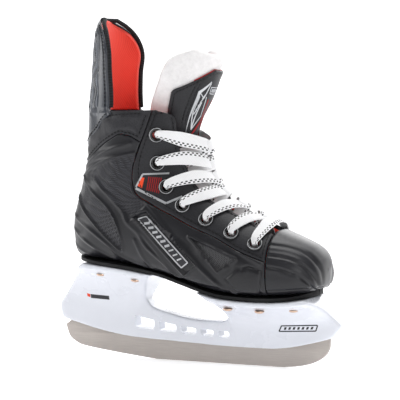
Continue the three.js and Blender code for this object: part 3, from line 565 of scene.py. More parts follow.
def make_finishes(colours):
    Finish.groups = {"grain": make_grain_group(), "twill": make_weave_group(), "wear": make_wear_group()}
    shell = tuple(colours.shell)
    leather = tuple(colours.leather)

    f = Finish("moulded", "moulded_black", 0.34, coat=0.12, coat_roughness=0.22, specular=0.32)
    wear = f.group("wear", Scale=22.0)
    grain = f.group("grain", Scale=1500.0)
    weave = f.group("twill", "UV", Pitch=620.0)
    mesh = f.group("twill", "UV", Pitch=1500.0, Slant=2.0)
    carbon = f.attribute("carbon")
    fine = f.attribute("fine_mesh")
    base = f.mix(wear["Smear"], shell, tint(shell, 1.9))
    base = f.mix(f.times(wear["Scratch"], 0.3), base, tint(shell, 4))
    base = f.mix(f.times(carbon, weave["Mask"]), base, tint(shell, 4.5))
    base = f.mix(f.times(fine, mesh["Mask"]), base, (0.09, 0.09, 0.095))
    f.set("Base Color", base)
    f.set("Roughness", f.ramp(wear["Smear"], 0, 1, 0.3, 0.42))
    f.bump(grain["Height"], 0.00004, 0.5)
    f.bump(f.times(carbon, weave["Height"]), 0.0004)
    f.bump(f.times(fine, mesh["Height"]), 0.0003)

    for name, share, scale, rough in (("leather", 1.0, 1100.0, 0.42), ("soft_leather", 1.25, 800.0, 0.46)):
        f = Finish(name, name, rough, specular=0.26)
        grain = f.group("grain", Scale=scale)
        wear = f.group("wear", Scale=35.0)
        colour = tint(leather, share)
        # Grain tone plus painted shade: the leather is darker in the grain's low creases and lighter on its tops.
        base = f.mix(grain["Mask"], tint(colour, 0.7), tint(colour, 1.5))
        f.set("Base Color", f.mix(f.times(wear["Smear"], 0.6), base, tint(colour, 2.2)))
        f.set("Roughness", f.ramp(wear["Smear"], 0, 1, rough - 0.06, rough + 0.08))
        f.bump(grain["Height"], 0.00012, 0.8)

    f = Finish("guard", "glossy_guard", 0.24, coat=0.2, coat_roughness=0.12, specular=0.4)
    grain = f.group("grain", Scale=1800.0)
    wear = f.group("wear", Scale=30.0)
    guard = tuple(colours.guard)
    # Painted highlight and shade: the guard is coloured light on its raised ridge tops and dark in the grooves
    # between them.
    raised = f.attribute("raised")
    base = f.mix(raised, tint(guard, 0.4), tint(guard, 2.2))
    f.set("Base Color", f.mix(f.times(wear["Smear"], 0.4), base, tint(guard, 2.0)))
    f.set("Roughness", f.ramp(wear["Smear"], 0, 1, 0.2, 0.32))
    f.bump(grain["Height"], 0.00004, 0.5)

    f = Finish("red", "red_twill", 0.85, sheen=0.25)
    weave = f.group("twill", "UV", Pitch=2100.0)
    wear = f.group("wear", Scale=40.0)
    red = tuple(colours.lining)
    base = f.mix(weave["Mask"], tint(red, 0.86), tint(red, 1.04))
    f.set("Base Color", f.mix(f.times(wear["Smear"], 0.25), base, tint(red, 1.25)))
    f.bump(weave["Height"], 0.00012)

    f = Finish("binding", "black_binding", 0.7, specular=0.25)
    weave = f.group("twill", "UV", Pitch=2000.0, Slant=0.0)
    f.set("Base Color", f.mix(weave["Mask"], (0.006, 0.006, 0.007), (0.022, 0.022, 0.024)))
    f.bump(weave["Height"], 0.00018)

    f = Finish("felt", "white_felt", 0.95, sheen=0.4, subsurface=0.15)
    cloud = texture(f.tree, "ShaderNodeTexNoise", f.where(), Scale=260.0, Detail=8.0, Roughness=0.7)
    fibre = texture(f.tree, "ShaderNodeTexNoise", f.where(), Scale=2600.0, Detail=4.0, Distortion=1.5)
    felt = tuple(colours.felt)
    # Pinker towards the bottom of the felt: the blush mask fades out between 172 and 200 mm up.
    pink = f.attribute("blush")
    base = f.mix(f.ramp(cloud.outputs[0], 0.3, 0.7), tint(felt, 0.92), tint(felt, 1.08))
    base = f.mix(f.times(pink, 0.5), base, (0.86, 0.62, 0.60))
    f.set("Base Color", f.mix(f.attribute("bound"), base, (0.014, 0.014, 0.015)))
    f.bump(fibre.outputs[0], 0.0003, 0.7)
    f.bump(cloud.outputs[0], 0.0007, 0.6)

    f = Finish("holder", "holder_white", 0.26, coat=0.35, coat_roughness=0.12, subsurface=0.06)
    wear = f.group("wear", Scale=18.0)
    white = tuple(colours.holder)
    base = f.mix(wear["Smear"], tint(white, 1.02), tint(white, 0.96))
    f.set("Base Color", f.mix(f.times(wear["Scratch"], 0.06), base, (0.55, 0.56, 0.6)))
    f.set("Roughness", f.ramp(wear["Smear"], 0, 1, 0.2, 0.34))
    moulding = texture(f.tree, "ShaderNodeTexNoise", f.where(), Scale=900.0, Detail=2.0)
    f.bump(moulding.outputs[0], 0.00003, 0.4)

    f = Finish("steel", "ground_steel", 0.36, metallic=1.0)
    stretch = f.tree.nodes.new("ShaderNodeMapping")
    stretch.inputs["Scale"].default_value = (1.0, 1.0, 60.0)
    f.tree.links.new(f.where(), stretch.inputs["Vector"])
    lines = texture(f.tree, "ShaderNodeTexNoise", stretch.outputs[0], Scale=60.0, Detail=6.0, Roughness=0.7)
    wear = f.group("wear", Scale=40.0)
    steel = tuple(colours.steel)
    base = f.mix(f.ramp(lines.outputs[0], 0.35, 0.65), tint(steel, 0.86), tint(steel, 1.12))
    f.set("Base Color", f.mix(f.times(wear["Smear"], 0.3), base, tint(steel, 0.8)))
    f.set("Roughness", f.ramp(lines.outputs[0], 0.3, 0.7, 0.34, 0.5))
    f.bump(lines.outputs[0], 0.00005, 0.6)

    f = Finish("copper", "copper_rivet", 0.3, metallic=1.0)
    wear = f.group("wear", Scale=160.0)
    f.set("Base Color", f.mix(wear["Smear"], (0.80, 0.58, 0.44), (0.66, 0.46, 0.34)))
    f.set("Roughness", f.ramp(wear["Smear"], 0, 1, 0.22, 0.45))

    f = Finish("eyelet", "eyelet_lacquer", 0.16, metallic=0.35, coat=0.7, coat_roughness=0.06)
    wear = f.group("wear", Scale=200.0)
    f.set("Base Color", f.mix(wear["Scratch"], (0.008, 0.008, 0.009), (0.10, 0.10, 0.105)))

    f = Finish("sole", "sole_rubber", 0.6, specular=0.25)
    grain = f.group("grain", Scale=1300.0)
    wear = f.group("wear", Scale=25.0)
    f.set("Base Color", f.mix(wear["Smear"], (0.008, 0.008, 0.009), (0.02, 0.02, 0.021)))
    f.bump(grain["Height"], 0.00008, 0.7)

    f = Finish("dark_fabric", "dark_fabric", 0.92, sheen=0.1)
    weave = f.group("twill", "UV", Pitch=900.0, Slant=2.0)
    f.set("Base Color", f.mix(weave["Mask"], (0.02, 0.02, 0.022), (0.06, 0.06, 0.064)))
    f.bump(weave["Height"], 0.0003)

    f = Finish("silver", "silver_print", 0.32, metallic=0.55)
    wear = f.group("wear", Scale=120.0)
    silver = tuple(colours.silver)
    f.set("Base Color", f.mix(wear["Smear"], tint(silver, 0.9), tint(silver, 1.15)))

    for name, colour in (("orange_print", (0.82, 0.07, 0.02)), ("red_print", (0.32, 0.012, 0.014)),
                         ("dark_print", (0.03, 0.03, 0.034)), ("thread", (0.004, 0.004, 0.0045))):
        f = Finish(name, name, 0.5, specular=0.25)
        wear = f.group("wear", Scale=150.0)
        f.set("Base Color", f.mix(f.times(wear["Smear"], 0.5), colour, tint(colour, 1.4)))

    f = Finish("lace", "lace_weave", 0.88, sheen=0.3, subsurface=0.1)
    weave = f.group("twill", "UV", Pitch=1900.0, Slant=2.0)
    split = f.tree.nodes.new("ShaderNodeSeparateXYZ")
    f.tree.links.new(f.where("UV"), split.inputs[0])
    dash = dashed_rows(f.tree, split.outputs[0], split.outputs[1])
    white = tuple(colours.lace)
    base = f.mix(weave["Mask"], tint(white, 0.9), tint(white, 1.1))
    f.set("Base Color", f.mix(dash, base, (0.012, 0.012, 0.013)))
    f.bump(weave["Height"], 0.00016)


# ------------------------------------------------------------------ seams and relief of the upper
TOE_SEAM = 4.0
COLLAR_STATION = 14.4
GAP = 0.35
SEAM_S, SEAM_T = 0.012, 0.003
throat_edge = through([(4, 0.85), (5, 0.87), (6, 0.86), (7.4, 0.82), (10, 0.82), (12.5, 0.81), (14.6, 0.8),
                       (15.4, 0.76), (16, 0.64)])
facing_seam = through([(4, 0.57), (5, 0.6), (6, 0.62), (7, 0.6), (8.6, 0.56), (10.3, 0.545), (12.2, 0.55),
                       (14.2, 0.58), (16, 0.62)])
collar_seam = through([(0, 14.1), (0.2, 14.25), (0.4, 14.7), (0.48, 14.75), (0.55, 14), (0.6, 13.4)])
EYELET_PLACES = ((4.5, 0.69), (5.5, 0.7), (6.6, 0.69), (7.7, 0.66), (8.9, 0.66), (10.9, 0.67), (13.6, 0.66))
EYELET_HOLE = 3.1

HEEL_LEAF = smooth_line([(-84, 137), (-72, 126), (-57, 114), (-49, 102), (-45, 89), (-46, 82), (-54, 88),
                         (-66, 99), (-78, 110), (-90, 124)])
ANKLE_FIELD = smooth_line([(-76, 136), (-60, 146), (-42, 152), (-33, 150), (-36, 128), (-27, 117), (-35, 107),
                           (-50, 116), (-64, 130)])
BADGE_SEAT = [(-35, 108), (-24, 111), (15, 74), (6, 67)]
BADGE_FACE = [(-31.5, 105.5), (-24.5, 107.5), (8.5, 75.5), (3, 71.5)]
MESH_PANEL = [(9.5, 94), (46, 79.5), (32.5, 70.5), (22, 82)]
TOE_PANEL = [(38.5, 65.5), (46, 72.5), (55, 75), (65, 72.5), (63, 55), (53, 54.5), (44.5, 57)]
RIDGES = (     # line, height, width in millimetres
    ([(-68, 134), (-55, 122), (-44, 111), (-40, 103), (-31, 95), (-25, 86), (-13, 76), (0, 64)], 0.9, 1.1),
    ([(-94, 109), (-86, 104), (-70, 95), (-57, 86), (-47, 78), (-26, 69)], 0.8, 1.0),
    ([(-93, 97), (-84, 92), (-68, 82.5), (-54, 75)], 0.7, 1.0),
    ([(-94, 87), (-86, 82), (-75, 77)], 0.6, 1.0),
    ([(-34, 90), (-29, 79), (-23, 69)], 0.6, 1.0),
    ([(-90, 134), (-80, 143), (-60, 153), (-37, 160)], 0.7, 1.2),
    ([(-90, 129), (-79, 138), (-60, 147), (-34, 153)], 0.5, 0.9),
    ([(-25, 118), (-10, 101), (3, 87), (16, 75), (32, 62), (44, 55)], 0.9, 1.1),
    ([(-18, 121), (5, 108), (25, 97), (46, 86), (64, 77)], 0.7, 1.3),
    ([(-4, 64), (16, 59), (40, 57)], -0.6, 0.9),
)


def quarter_relief(x, z, height):
    """Height of the moulded pattern in millimetres, and the masks of its two textured fields."""
    relief = np.zeros(x.shape)
    leaf = depth_inside(x, z, HEEL_LEAF)
    field = depth_inside(x, z, ANKLE_FIELD)
    relief -= 0.7 * height * ease(leaf, 0, 1.6)
    relief += 0.8 * height * np.exp(-(leaf / 0.9) ** 2)
    relief -= 0.35 * height * ease(field, 0, 2.0)
    for points, share, width in RIDGES:
        distance = line_distance(x, z, smooth_line(points, 8))
        relief += share * height * np.exp(-(distance / (1.25 * width)) ** 2)
    band = depth_inside(x, z, smooth_line([(-40, 103), (-31, 95), (-13, 76), (0, 64), (40, 57), (32, 63),
                                           (16, 76), (-8, 99), (-25, 117)]))
    relief += 0.7 * height * ease(band, 0, 2.2)
    badge = depth_inside(x, z, BADGE_SEAT)
    relief -= 1.5 * height * ease(badge, -0.3, 1.0)
    relief += 0.6 * height * np.exp(-((badge + 0.9) / 0.8) ** 2)
    panel = depth_inside(x, z, MESH_PANEL)
    relief -= 1.2 * height * ease(panel, 0, 1.0)
    relief += 0.7 * height * np.exp(-((panel + 0.7) / 0.8) ** 2)
    toe = depth_inside(x, z, TOE_PANEL)
    relief -= 0.6 * height * np.exp(-(toe / 0.7) ** 2)
    relief += 0.3 * height * ease(toe, 0.4, 1.6)
    return relief, ease(np.maximum(leaf, field), 0.3, 1.5), ease(panel, 0.2, 1.0)


def side_places(from_s, to_s, from_t, to_t, rows, columns):
    """Places (s, t) of a panel between its seams; every limit is a function."""
    a, b = unit_grid(rows, columns)
    guess = from_t(COLLAR_STATION) + (to_t(COLLAR_STATION) - from_t(COLLAR_STATION)) * b
    s = from_s(guess) + (to_s(guess) - from_s(guess)) * a
    return s, from_t(s) + (to_t(s) - from_t(s)) * b


def steady(value):
    return lambda x: np.full(np.shape(x), value, float)


def edge_distance(points):
    """Distance of every grid point from the panel's rim, along the surface, in millimetres."""
    uv = sheet_uv(points)
    u, v = uv[..., 0], uv[..., 1]
    return np.minimum(np.minimum(u, u[:, -1:] - u), np.minimum(v, v[-1, 0] - v))


def rolled(points, depth=0.7, width=1.1):
    """A sunk rim, so that a panel's edge turns in."""
    f = np.clip(edge_distance(points) / width, 0, 1)
    return -depth * (1 - np.sqrt(1 - (1 - f) ** 2))


def side_shift(points, side):
    return points + np.array([0, side * GAP / 2, 0])


def side_panel(s, t, side, out, under):
    """A panel on one side of the boot, between two distances from its surface in millimetres."""
    return slab_piece(*[side_shift(on_last(s, side * t, distance), side) for distance in (out, under)])


def build_quarter(sizes, name, side):
    s, t = side_places(steady(TOE_SEAM + SEAM_S), lambda t: collar_seam(t) - SEAM_S, steady(0.0),
                       lambda s: facing_seam(s) - SEAM_T, 320, 130)
    base = last_point(s, side * t)
    relief, carbon, fine = quarter_relief(base[..., 0], base[..., 2], sizes.ridge_height / MM)
    relief *= ease(t, 0.06, 0.2)
    rim = rolled(base, 0.6, 1.0) * ease(t, 0.02, 0.06)
    piece = side_panel(s, t, side, relief + rim, -sizes.wall / MM)
    for label, values in (("carbon", carbon), ("fine_mesh", fine)):
        point_attribute(piece, label, np.concatenate([values.ravel(), np.zeros(values.size)]))
    return settle(piece, f"quarter_{name}_moulding", "root", [f"quarter_{name}"],
                  MATERIALS["moulded"], 50)


def eyelet_frame(side, place):
    """Centre and outward direction of an eyelet, in millimetres."""
    s, t = place
    at = on_last(np.array(s), np.array(side * t)) + np.array([0, side * GAP / 2, 0])
    return at, last_normal(np.array(s), np.array(side * t))


def bore_eyelets(piece, side, radius):
    """Cuts the lace holes through a panel."""
    deselect()
    cutters = []
    for place in EYELET_PLACES:
        at, normal = eyelet_frame(side, place)
        turn = Vector(normal).to_track_quat("Z", "Y").to_euler()
        bpy.ops.mesh.primitive_cylinder_add(vertices=28, radius=radius * MM, depth=22 * MM,
                                            location=tuple(at * MM), rotation=turn)
        cutters.append(bpy.context.object)
    cut(piece, join(cutters))


def build_facing(sizes, name, side):
    s, t = side_places(steady(TOE_SEAM + SEAM_S), steady(float(LAST_STATION)), facing_seam, throat_edge, 230, 34)
    base = last_point(s, side * t)
    distance = edge_distance(base)
    relief = rolled(base, 0.9, 1.3) - 0.28 * np.exp(-((distance - 3.0) / 0.7) ** 2)
    for place in EYELET_PLACES:
        centre = last_point(np.array(place[0]), np.array(side * place[1]))
        away = np.linalg.norm(base - centre, axis=-1)
        relief -= 0.35 * np.exp(-(away / 4.8) ** 4)
    piece = side_panel(s, t, side, relief, -sizes.wall / MM)
    bore_eyelets(piece, side, BORE_RADIUS)
    return settle(piece, f"facing_{name}_leather", "root", [f"facing_{name}"],
                  MATERIALS["leather"], 50)


def build_collar(sizes, name, side):
    s, t = side_places(lambda t: collar_seam(t) + SEAM_S, steady(float(LAST_STATION)), steady(0.0),
                       lambda s: facing_seam(s) - SEAM_T, 60, 130)
    base = last_point(s, side * t)
    rim = rolled(base, 0.7, 1.2) * np.where(t < 0.03, ease(t, 0.0, 0.03), 1)
    distance = edge_distance(base)
    puff = 0.9 * ease(distance, 3.2, 9) - 0.35 * np.exp(-((distance - 3.0) / 0.6) ** 2)
    crease = np.array([noise.noise(Vector((p[0] * 0.035, side * 3, p[2] * 0.11 + p[0] * 0.05)))
                       for p in base.reshape(-1, 3)]).reshape(s.shape)
    fold = np.array([noise.noise(Vector((p[0] * 0.16, side * 7, p[2] * 0.05)))
                     for p in base.reshape(-1, 3)]).reshape(s.shape)
    relief = rim + (puff + 0.8 * crease - 0.5 * np.abs(fold)) * ease(distance, 2.5, 6)
    piece = side_panel(s, t, side, relief, -sizes.wall / MM)
    return settle(piece, f"collar_{name}_leather", "root", [f"collar_{name}"],
                  MATERIALS["soft_leather"], 60)


WALL, LINING_GAP, LINING_WALL = 2.2, 0.875, 2.2
LINING_OUT, LINING_IN = -(WALL + LINING_GAP), -(WALL + LINING_GAP + LINING_WALL)


def build_lining(name, side):
    s, t = side_places(steady(TOE_SEAM + 0.1), steady(LAST_STATION - 0.02),
                       lambda s: np.clip(0.3 - 0.14 * (s - 8.6), 0.02, 0.3),
                       lambda s: throat_edge(s) - 0.006, 150, 70)
    base = last_point(s, side * t)
    rim = rolled(base, 1.0, 1.1)
    piece = side_panel(s, t, side, LINING_OUT + 0 * s, LINING_IN - rim)
    bore_eyelets(piece, side, BORE_RADIUS)
    return settle(piece, f"lining_{name}_cloth", "root", [f"lining_{name}"], MATERIALS["red"], 60)


TOE_GROOVES = (
    [(67, 90), (82, 87.5), (94, 82), (101, 72), (102, 60)],
    [(67, 83), (82, 80.5), (93, 75), (99, 66), (100, 58)],
    [(67, 75.5), (80, 73), (90, 68.5), (96, 62), (97, 56)],
)


def build_toe_cap(sizes):
    rows, columns = 110, 200
    a, b = np.meshgrid(np.linspace(0, 1, rows) ** 1.15, np.linspace(-1, 1, columns), indexing="ij")
    s = 0.02 + a * (TOE_SEAM - SEAM_S - 0.02)
    base = last_point(s, b)
    relief = np.zeros(s.shape)
    side = ease(np.abs(base[..., 1]), 4, 12)
    for line in TOE_GROOVES:
        distance = line_distance(base[..., 0], base[..., 2], smooth_line(line, 8))
        relief -= 0.75 * np.exp(-(distance / 0.75) ** 2) * side
        relief += 0.25 * np.exp(-((distance - 1.8) / 0.9) ** 2) * side
    low = np.abs(base[..., 2] - (57.5 + 0.06 * (base[..., 0] - 66)))
    relief -= 0.6 * np.exp(-(low / 0.6) ** 2) * ease(np.abs(b), 0.06, 0.12)
    seam = (TOE_SEAM - s) * 17.0
    relief -= 0.6 * (1 - ease(seam, 0.1, 1.1))
    outer = on_last(s, b, relief)
    inner = on_last(0.25 + a * (TOE_SEAM - SEAM_S - 0.25), b, -sizes.wall / MM + 0 * s)
    outer[:, -1] = outer[:, 0]
    inner[:, -1] = inner[:, 0]
    piece = cup_piece(outer, inner)
    point_attribute(piece, "carbon", np.zeros(len(piece.data.vertices)))
    point_attribute(piece, "fine_mesh", np.zeros(len(piece.data.vertices)))
    return settle(piece, "toe_cap_moulding", "root", ["toe_cap"], MATERIALS["moulded"], 50)


def cup_piece(outer, inner):
    """A cup between two grids that close round and narrow to a pole in their first rows."""
    rows, columns = outer.shape[:2]
    ring = columns - 1
    poles = [outer[0].mean(axis=0), inner[0].mean(axis=0)]
    body = [outer[:, :-1].reshape(-1, 3), inner[:, :-1].reshape(-1, 3)]
    index = np.arange(rows * ring).reshape(rows, ring)
    nxt = np.roll(index, -1, axis=1)
    quads = np.stack([index[:-1], index[1:], nxt[1:], nxt[:-1]], -1).reshape(-1, 4)
    count = rows * ring
    faces = quads.tolist() + (quads[:, ::-1] + count).tolist()
    faces += np.stack([index[-1], index[-1] + count, nxt[-1] + count, nxt[-1]], -1).tolist()
    for pole, shift, flip in ((2 * count, 0, 1), (2 * count + 1, count, -1)):
        faces += [[pole, int(i) + shift, int(j) + shift][::flip] for i, j in zip(index[0], nxt[0])]
    uv = np.concatenate([sheet_uv(outer)[:, :-1].reshape(-1, 2), sheet_uv(inner)[:, :-1].reshape(-1, 2),
                         np.zeros((2, 2))])
    return mesh_piece("cup", np.concatenate([*body, np.array(poles)]), faces, uv)


# ------------------------------------------------------------------ stitches, bindings and prints
def bead_mesh(rings=4, sides=6):
    """Vertices and faces of a small round-ended bead of length 2 along X and width 2."""
    vertices = [(-1, 0, 0)]
    for i in range(1, rings):
        angle = math.pi * i / rings
        for j in range(sides):
            turn = 2 * math.pi * j / sides
            vertices.append((-math.cos(angle), math.sin(angle) * math.cos(turn), math.sin(angle) * math.sin(turn)))
    vertices.append((1, 0, 0))
    faces = [[0, 1 + (j + 1) % sides, 1 + j] for j in range(sides)]
    for i in range(rings - 2):
        first = 1 + i * sides
        faces += [[first + j, first + (j + 1) % sides, first + sides + (j + 1) % sides, first + sides + j]
                  for j in range(sides)]
    last = 1 + (rings - 2) * sides
    faces += [[last + j, last + (j + 1) % sides, len(vertices) - 1] for j in range(sides)]
    return np.array(vertices), faces


def even_points(line, step):
    """Evenly spaced points on a line of 3-D points, with their directions."""
    gaps = np.linalg.norm(np.diff(line, axis=0), axis=1)
    along = np.concatenate([[0], np.cumsum(gaps)])
    places = np.arange(step / 2, along[-1], step)
    points = np.stack([np.interp(places, along, line[:, k]) for k in range(3)], -1)
    ahead = np.stack([np.interp(places + 0.3, along, line[:, k]) for k in range(3)], -1)
    behind = np.stack([np.interp(places - 0.3, along, line[:, k]) for k in range(3)], -1)
    return points, unit(ahead - behind)


def stitch_piece(name, lines, normals, sizes, body, step=3.1, lift=0.12):
    """Rows of stitches, each a bead, on lines of points with surface normals, joined in one mesh."""
    bead, faces = bead_mesh()
    half = np.array([sizes.stitch_length / 2, sizes.stitch_width / 2, sizes.stitch_width / 2]) / MM
    vertices, all_faces = [], []
    for line, normal in zip(lines, normals):
        points, directions = even_points(line, step)
        for point, direction in zip(points, directions):
            nearest = normal[np.linalg.norm(line - point, axis=1).argmin()]
            across = unit(np.cross(nearest, direction))
            up = np.cross(direction, across)
            start = sum(len(v) for v in vertices)
            vertices.append(point + nearest * lift + (bead * half) @ np.stack([direction, across, up]))
            all_faces += [[start + k for k in face] for face in faces]
    return settle(mesh_piece(name, np.concatenate(vertices), all_faces), name, body, (),
                  MATERIALS["thread"], 80)


def last_line(side, s, t, out=0.0):
    """A line on the boot with its normals, from arrays of places."""
    s, t = np.broadcast_arrays(s, t)
    return side_shift(on_last(s, side * t, out + 0 * s), side), last_normal(s, side * t)


def tube_piece(line, radius, sides=10, closed=False, flatten=1.0, normals=None):
    """A round or flattened tube along a line of points in millimetres, with UV along it."""
    line = np.asarray(line, float)
    ahead = np.roll(line, -1, axis=0) if closed else np.vstack([line[1:], 2 * line[-1:] - line[-2:-1]])
    behind = np.roll(line, 1, axis=0) if closed else np.vstack([2 * line[:1] - line[1:2], line[:-1]])
    tangent = unit(ahead - behind)
    if normals is None:
        normals = unit(np.cross(tangent, np.array([0.013, 1, 0.021])))
    across = unit(np.cross(tangent, normals))
    up = np.cross(across, tangent)
    angles = np.linspace(0, 2 * math.pi, sides, endpoint=False)
    radius = np.broadcast_to(np.asarray(radius, float), (len(line),))
    rings = (line[:, None] + radius[:, None, None] * (
        across[:, None] * np.cos(angles)[None, :, None]
        + up[:, None] * (flatten * np.sin(angles))[None, :, None]))
    count = len(line)
    index = np.arange(count * sides).reshape(count, sides)
    nxt = np.roll(index, -1, axis=1)
    last = count if closed else count - 1
    following, following_nxt = np.roll(index, -1, axis=0), np.roll(nxt, -1, axis=0)
    faces = np.stack([index[:last], nxt[:last], following_nxt[:last], following[:last]], -1).reshape(-1, 4).tolist()
    if not closed:
        faces += [index[0].tolist()[::-1], index[-1].tolist()]
    along = np.concatenate([[0], np.cumsum(np.linalg.norm(np.diff(line, axis=0), axis=1))])
    uv = np.stack(np.broadcast_arrays(along[:, None], (angles * float(radius.mean()))[None, :]), -1).reshape(-1, 2)
    return mesh_piece("tube", rings.reshape(-1, 3), faces, uv)


def join(pieces):
    make_active(pieces[0])
    for piece in pieces:
        piece.select_set(True)
    bpy.ops.object.join()
    return bpy.context.object


def surface_patch(corners, side, out, rows=14, columns=6, thick=0.25):
    """A thin raised print between four corners given in side view, laid on the boot."""
    x, z = between_corners(corners, rows, columns)
    places = np.array([FINDER.find(px, pz) for px, pz in zip(x.ravel(), z.ravel())]).reshape(*x.shape, 2)
    s, t = places[..., 0], places[..., 1]
    return side_panel(s, t, side, out + 0 * s, out - thick + 0 * s)


def print_bar(start, end, width, side, out, thick=0.25):
    """A straight printed bar between two side-view points."""
    direction = np.array(end, float) - np.array(start, float)
    across = np.array([-direction[1], direction[0]]) / np.linalg.norm(direction) * width / 2
    p, q = np.array(start, float), np.array(end, float)
    rows = max(4, int(np.linalg.norm(direction) / 1.5))
    return surface_patch((p - across, p + across, q + across, q - across), side, out, rows, 3, thick)


# ------------------------------------------------------------------ sewing and prints on the upper
def build_upper_stitches(sizes, name, side):
    lines = []
    rows = np.linspace(TOE_SEAM + 0.12, LAST_STATION - 0.15, 150)
    lines.append(last_line(side, rows, facing_seam(rows) + 0.028))
    throat = np.linspace(TOE_SEAM + 0.12, 15.2, 150)
    lines.append(last_line(side, throat, throat_edge(throat) - 0.028))
    corner = np.linspace(0.0, 1.0, 40)
    lines.append(last_line(side, 15.62 + 0 * corner, facing_seam(15.6) + (0.70 - facing_seam(15.6)) * corner))
    around = np.linspace(0.02, facing_seam(14.4) - 0.03, 110)
    lines.append(last_line(side, collar_seam(around) + 0.17, around, 0.1))
    lines.append(last_line(side, 15.80 + 0 * around, around, 0.1))
    drop = np.linspace(14.3, 15.75, 40)
    lines.append(last_line(side, drop, facing_seam(drop) - 0.03, 0.1))
    tip = np.linspace(facing_seam(4.0) + 0.05, throat_edge(4.0) - 0.04, 30)
    lines.append(last_line(side, 4.13 + 0 * tip, tip))
    stitch_piece(f"upper_stitches_{name}", [line for line, _ in lines], [normal for _, normal in lines], sizes,
                 "root")


FACING_PRINT = (      # start, end and width of the printed bars, as seen from the side
    ((-33.0, 128.6), (-28.0, 137.6), 1.2), ((-28.0, 137.8), (-9.0, 138.6), 1.2),
    ((-33.2, 127.6), (-9.4, 117.2), 1.7), ((-9.2, 117.4), (1.6, 122.2), 1.5),
)
HATCH_COUNT = 7


def build_prints(name, side):
    bars = [print_bar(start, end, width, side, 0.16) for start, end, width in FACING_PRINT]
    silver = join(bars)
    settle(silver, f"facing_print_silver_{name}", "root", (), MATERIALS["silver"], 40)
    block = surface_patch([(-32.0, 129.6), (-29.2, 135.6), (-26.6, 135.2), (-28.4, 127.8)], side, 0.15)
    settle(block, f"facing_print_block_{name}", "root", (), MATERIALS["orange_print"], 40)
    hatch = []
    for i in range(HATCH_COUNT):
        x = -24.6 + 1.5 * i
        hatch.append(print_bar((x, 126.4 - 0.35 * i), (x + 1.3, 136.0 - 0.1 * i), 0.6, side, 0.15))
    settle(join(hatch), f"facing_print_hatch_{name}", "root", (), MATERIALS["red_print"], 40)


def build_badge(name, side):
    """A slanted plate in its seat: silver rim, dark field and a row of plain slanted bars."""
    ends = np.array(BADGE_FACE, float)
    field = surface_patch(ends, side, -0.55, 26, 6, 0.4)
    settle(field, f"badge_field_{name}", "root", [f"badge_{name}"], MATERIALS["dark_print"], 40)
    rim = [print_bar(ends[i], ends[(i + 1) % 4], 0.9, side, -0.25, 0.3) for i in range(4)]
    settle(join(rim), f"badge_rim_{name}", "root", (), MATERIALS["silver"], 40)
    bars = []
    for share in np.linspace(0.10, 0.86, 9):
        low = ends[0] + (ends[3] - ends[0]) * share
        high = ends[1] + (ends[2] - ends[1]) * (share + 0.035)
        inset = (high - low) * 0.24
        bars.append(print_bar(low + inset, high - inset, 1.7 if share < 0.6 else 1.1, side, -0.3, 0.25))
    settle(join(bars), f"badge_bars_{name}", "root", (), MATERIALS["silver"], 40)


def revolve(profile, sides):
    """A closed ring about Z from a closed (radius, height) profile."""
    profile = np.array(profile, float)
    angles = np.linspace(0, 2 * math.pi, sides, endpoint=False)
    points = np.stack([profile[:, 0][None] * np.cos(angles)[:, None], profile[:, 0][None] * np.sin(angles)[:, None],
                       np.broadcast_to(profile[:, 1][None], (sides, len(profile)))], -1)
    index = np.arange(sides * len(profile)).reshape(sides, -1)
    faces = np.stack([index, np.roll(index, -1, 0), np.roll(np.roll(index, -1, 0), -1, 1),
                      np.roll(index, -1, 1)], -1).reshape(-1, 4)
    return points.reshape(-1, 3), faces.tolist()


def place_mesh(name, points, faces, at, normal):
    """A mesh modelled about Z, laid at a point with its Z along a direction, in millimetres."""
    turn = Vector(normal).to_track_quat("Z", "Y").to_matrix()
    placed = points @ np.array(turn).T + at
    return mesh_piece(name, placed, faces)


def build_eyelets(name, side):
    arc = [(4.5 + 1.2 * math.cos(a), 0.55 + 0.95 * math.sin(a)) for a in np.linspace(-0.35, math.pi + 0.1, 12)]
    # Painted highlight: a thin silver ring laid on each black eyelet ring, standing for the bright line its glossy
    # curve reflects.
    line = [(4.95 + 0.2 * math.cos(a), 1.42 + 0.2 * math.sin(a))
            for a in np.linspace(0, 2 * math.pi, 8, endpoint=False)]
    highlight_ring_points, highlight_ring_faces = revolve(line, 48)
    lines = []
    profile = [(BORE_RADIUS, -2.0), (BORE_RADIUS, 0.1), *arc, (EYELET_HOLE, 0.2), (EYELET_HOLE, -2.0)]
    points, faces = revolve(profile, 40)
    for i, place in enumerate(EYELET_PLACES):
        at, normal = eyelet_frame(side, place)
        piece = place_mesh(f"eyelet_ring_{name}_{i + 1}", points, faces, at, normal)
        settle(piece, piece.name, "root", [f"eyelet_{name}_{i + 1}"], MATERIALS["eyelet"], 40)
        lines.append(place_mesh(f"eyelet_highlight_ring_{name}_{i + 1}", highlight_ring_points, highlight_ring_faces, at, normal))
    # The painted highlight rings of all eyelets, joined, in silver.
    settle(join(lines), f"eyelet_highlight_rings_{name}", "root", (), MATERIALS["silver"], 60)


# ------------------------------------------------------------------ sole, holder and blade
sole_line = through([(-99, 76.5), (-71, 73.6), (-46, 71), (-21, 66.8), (-3, 61.8), (16, 56.4), (32, 53.4),
                     (66, 52.6), (92, 55.2), (105, 60)])
SOLE_REAR, SOLE_FRONT = -91.0, 97.0
OUTSOLE_TOP, OUTSOLE_LOW = -0.7, -3.3
HOLDER_TOP = OUTSOLE_LOW - GAP
BOARD_AIR, BOARD_THICK, BOARD_INSET = 1.6, 2.0, 12.5
BED_THICK, BED_INSET = 3.0, 13
BORE_RADIUS = EYELET_HOLE + 0.5
BLADE_HALF = 1.5
sole_flat = through([(SOLE_REAR, 18), (-60, 23), (-20, 22), (20, 25.5), (60, 28.5), (SOLE_FRONT, 26)])


def sole_half(x, inset):
    def round_end(share):
        return np.sqrt(np.maximum(1 - (1 - np.clip(share, 0, 1)) ** 2, 0.02))
    return ((sole_flat(x) - inset) * round_end((x - SOLE_REAR - inset) / 22)
            * round_end((SOLE_FRONT - inset - x) / 30))


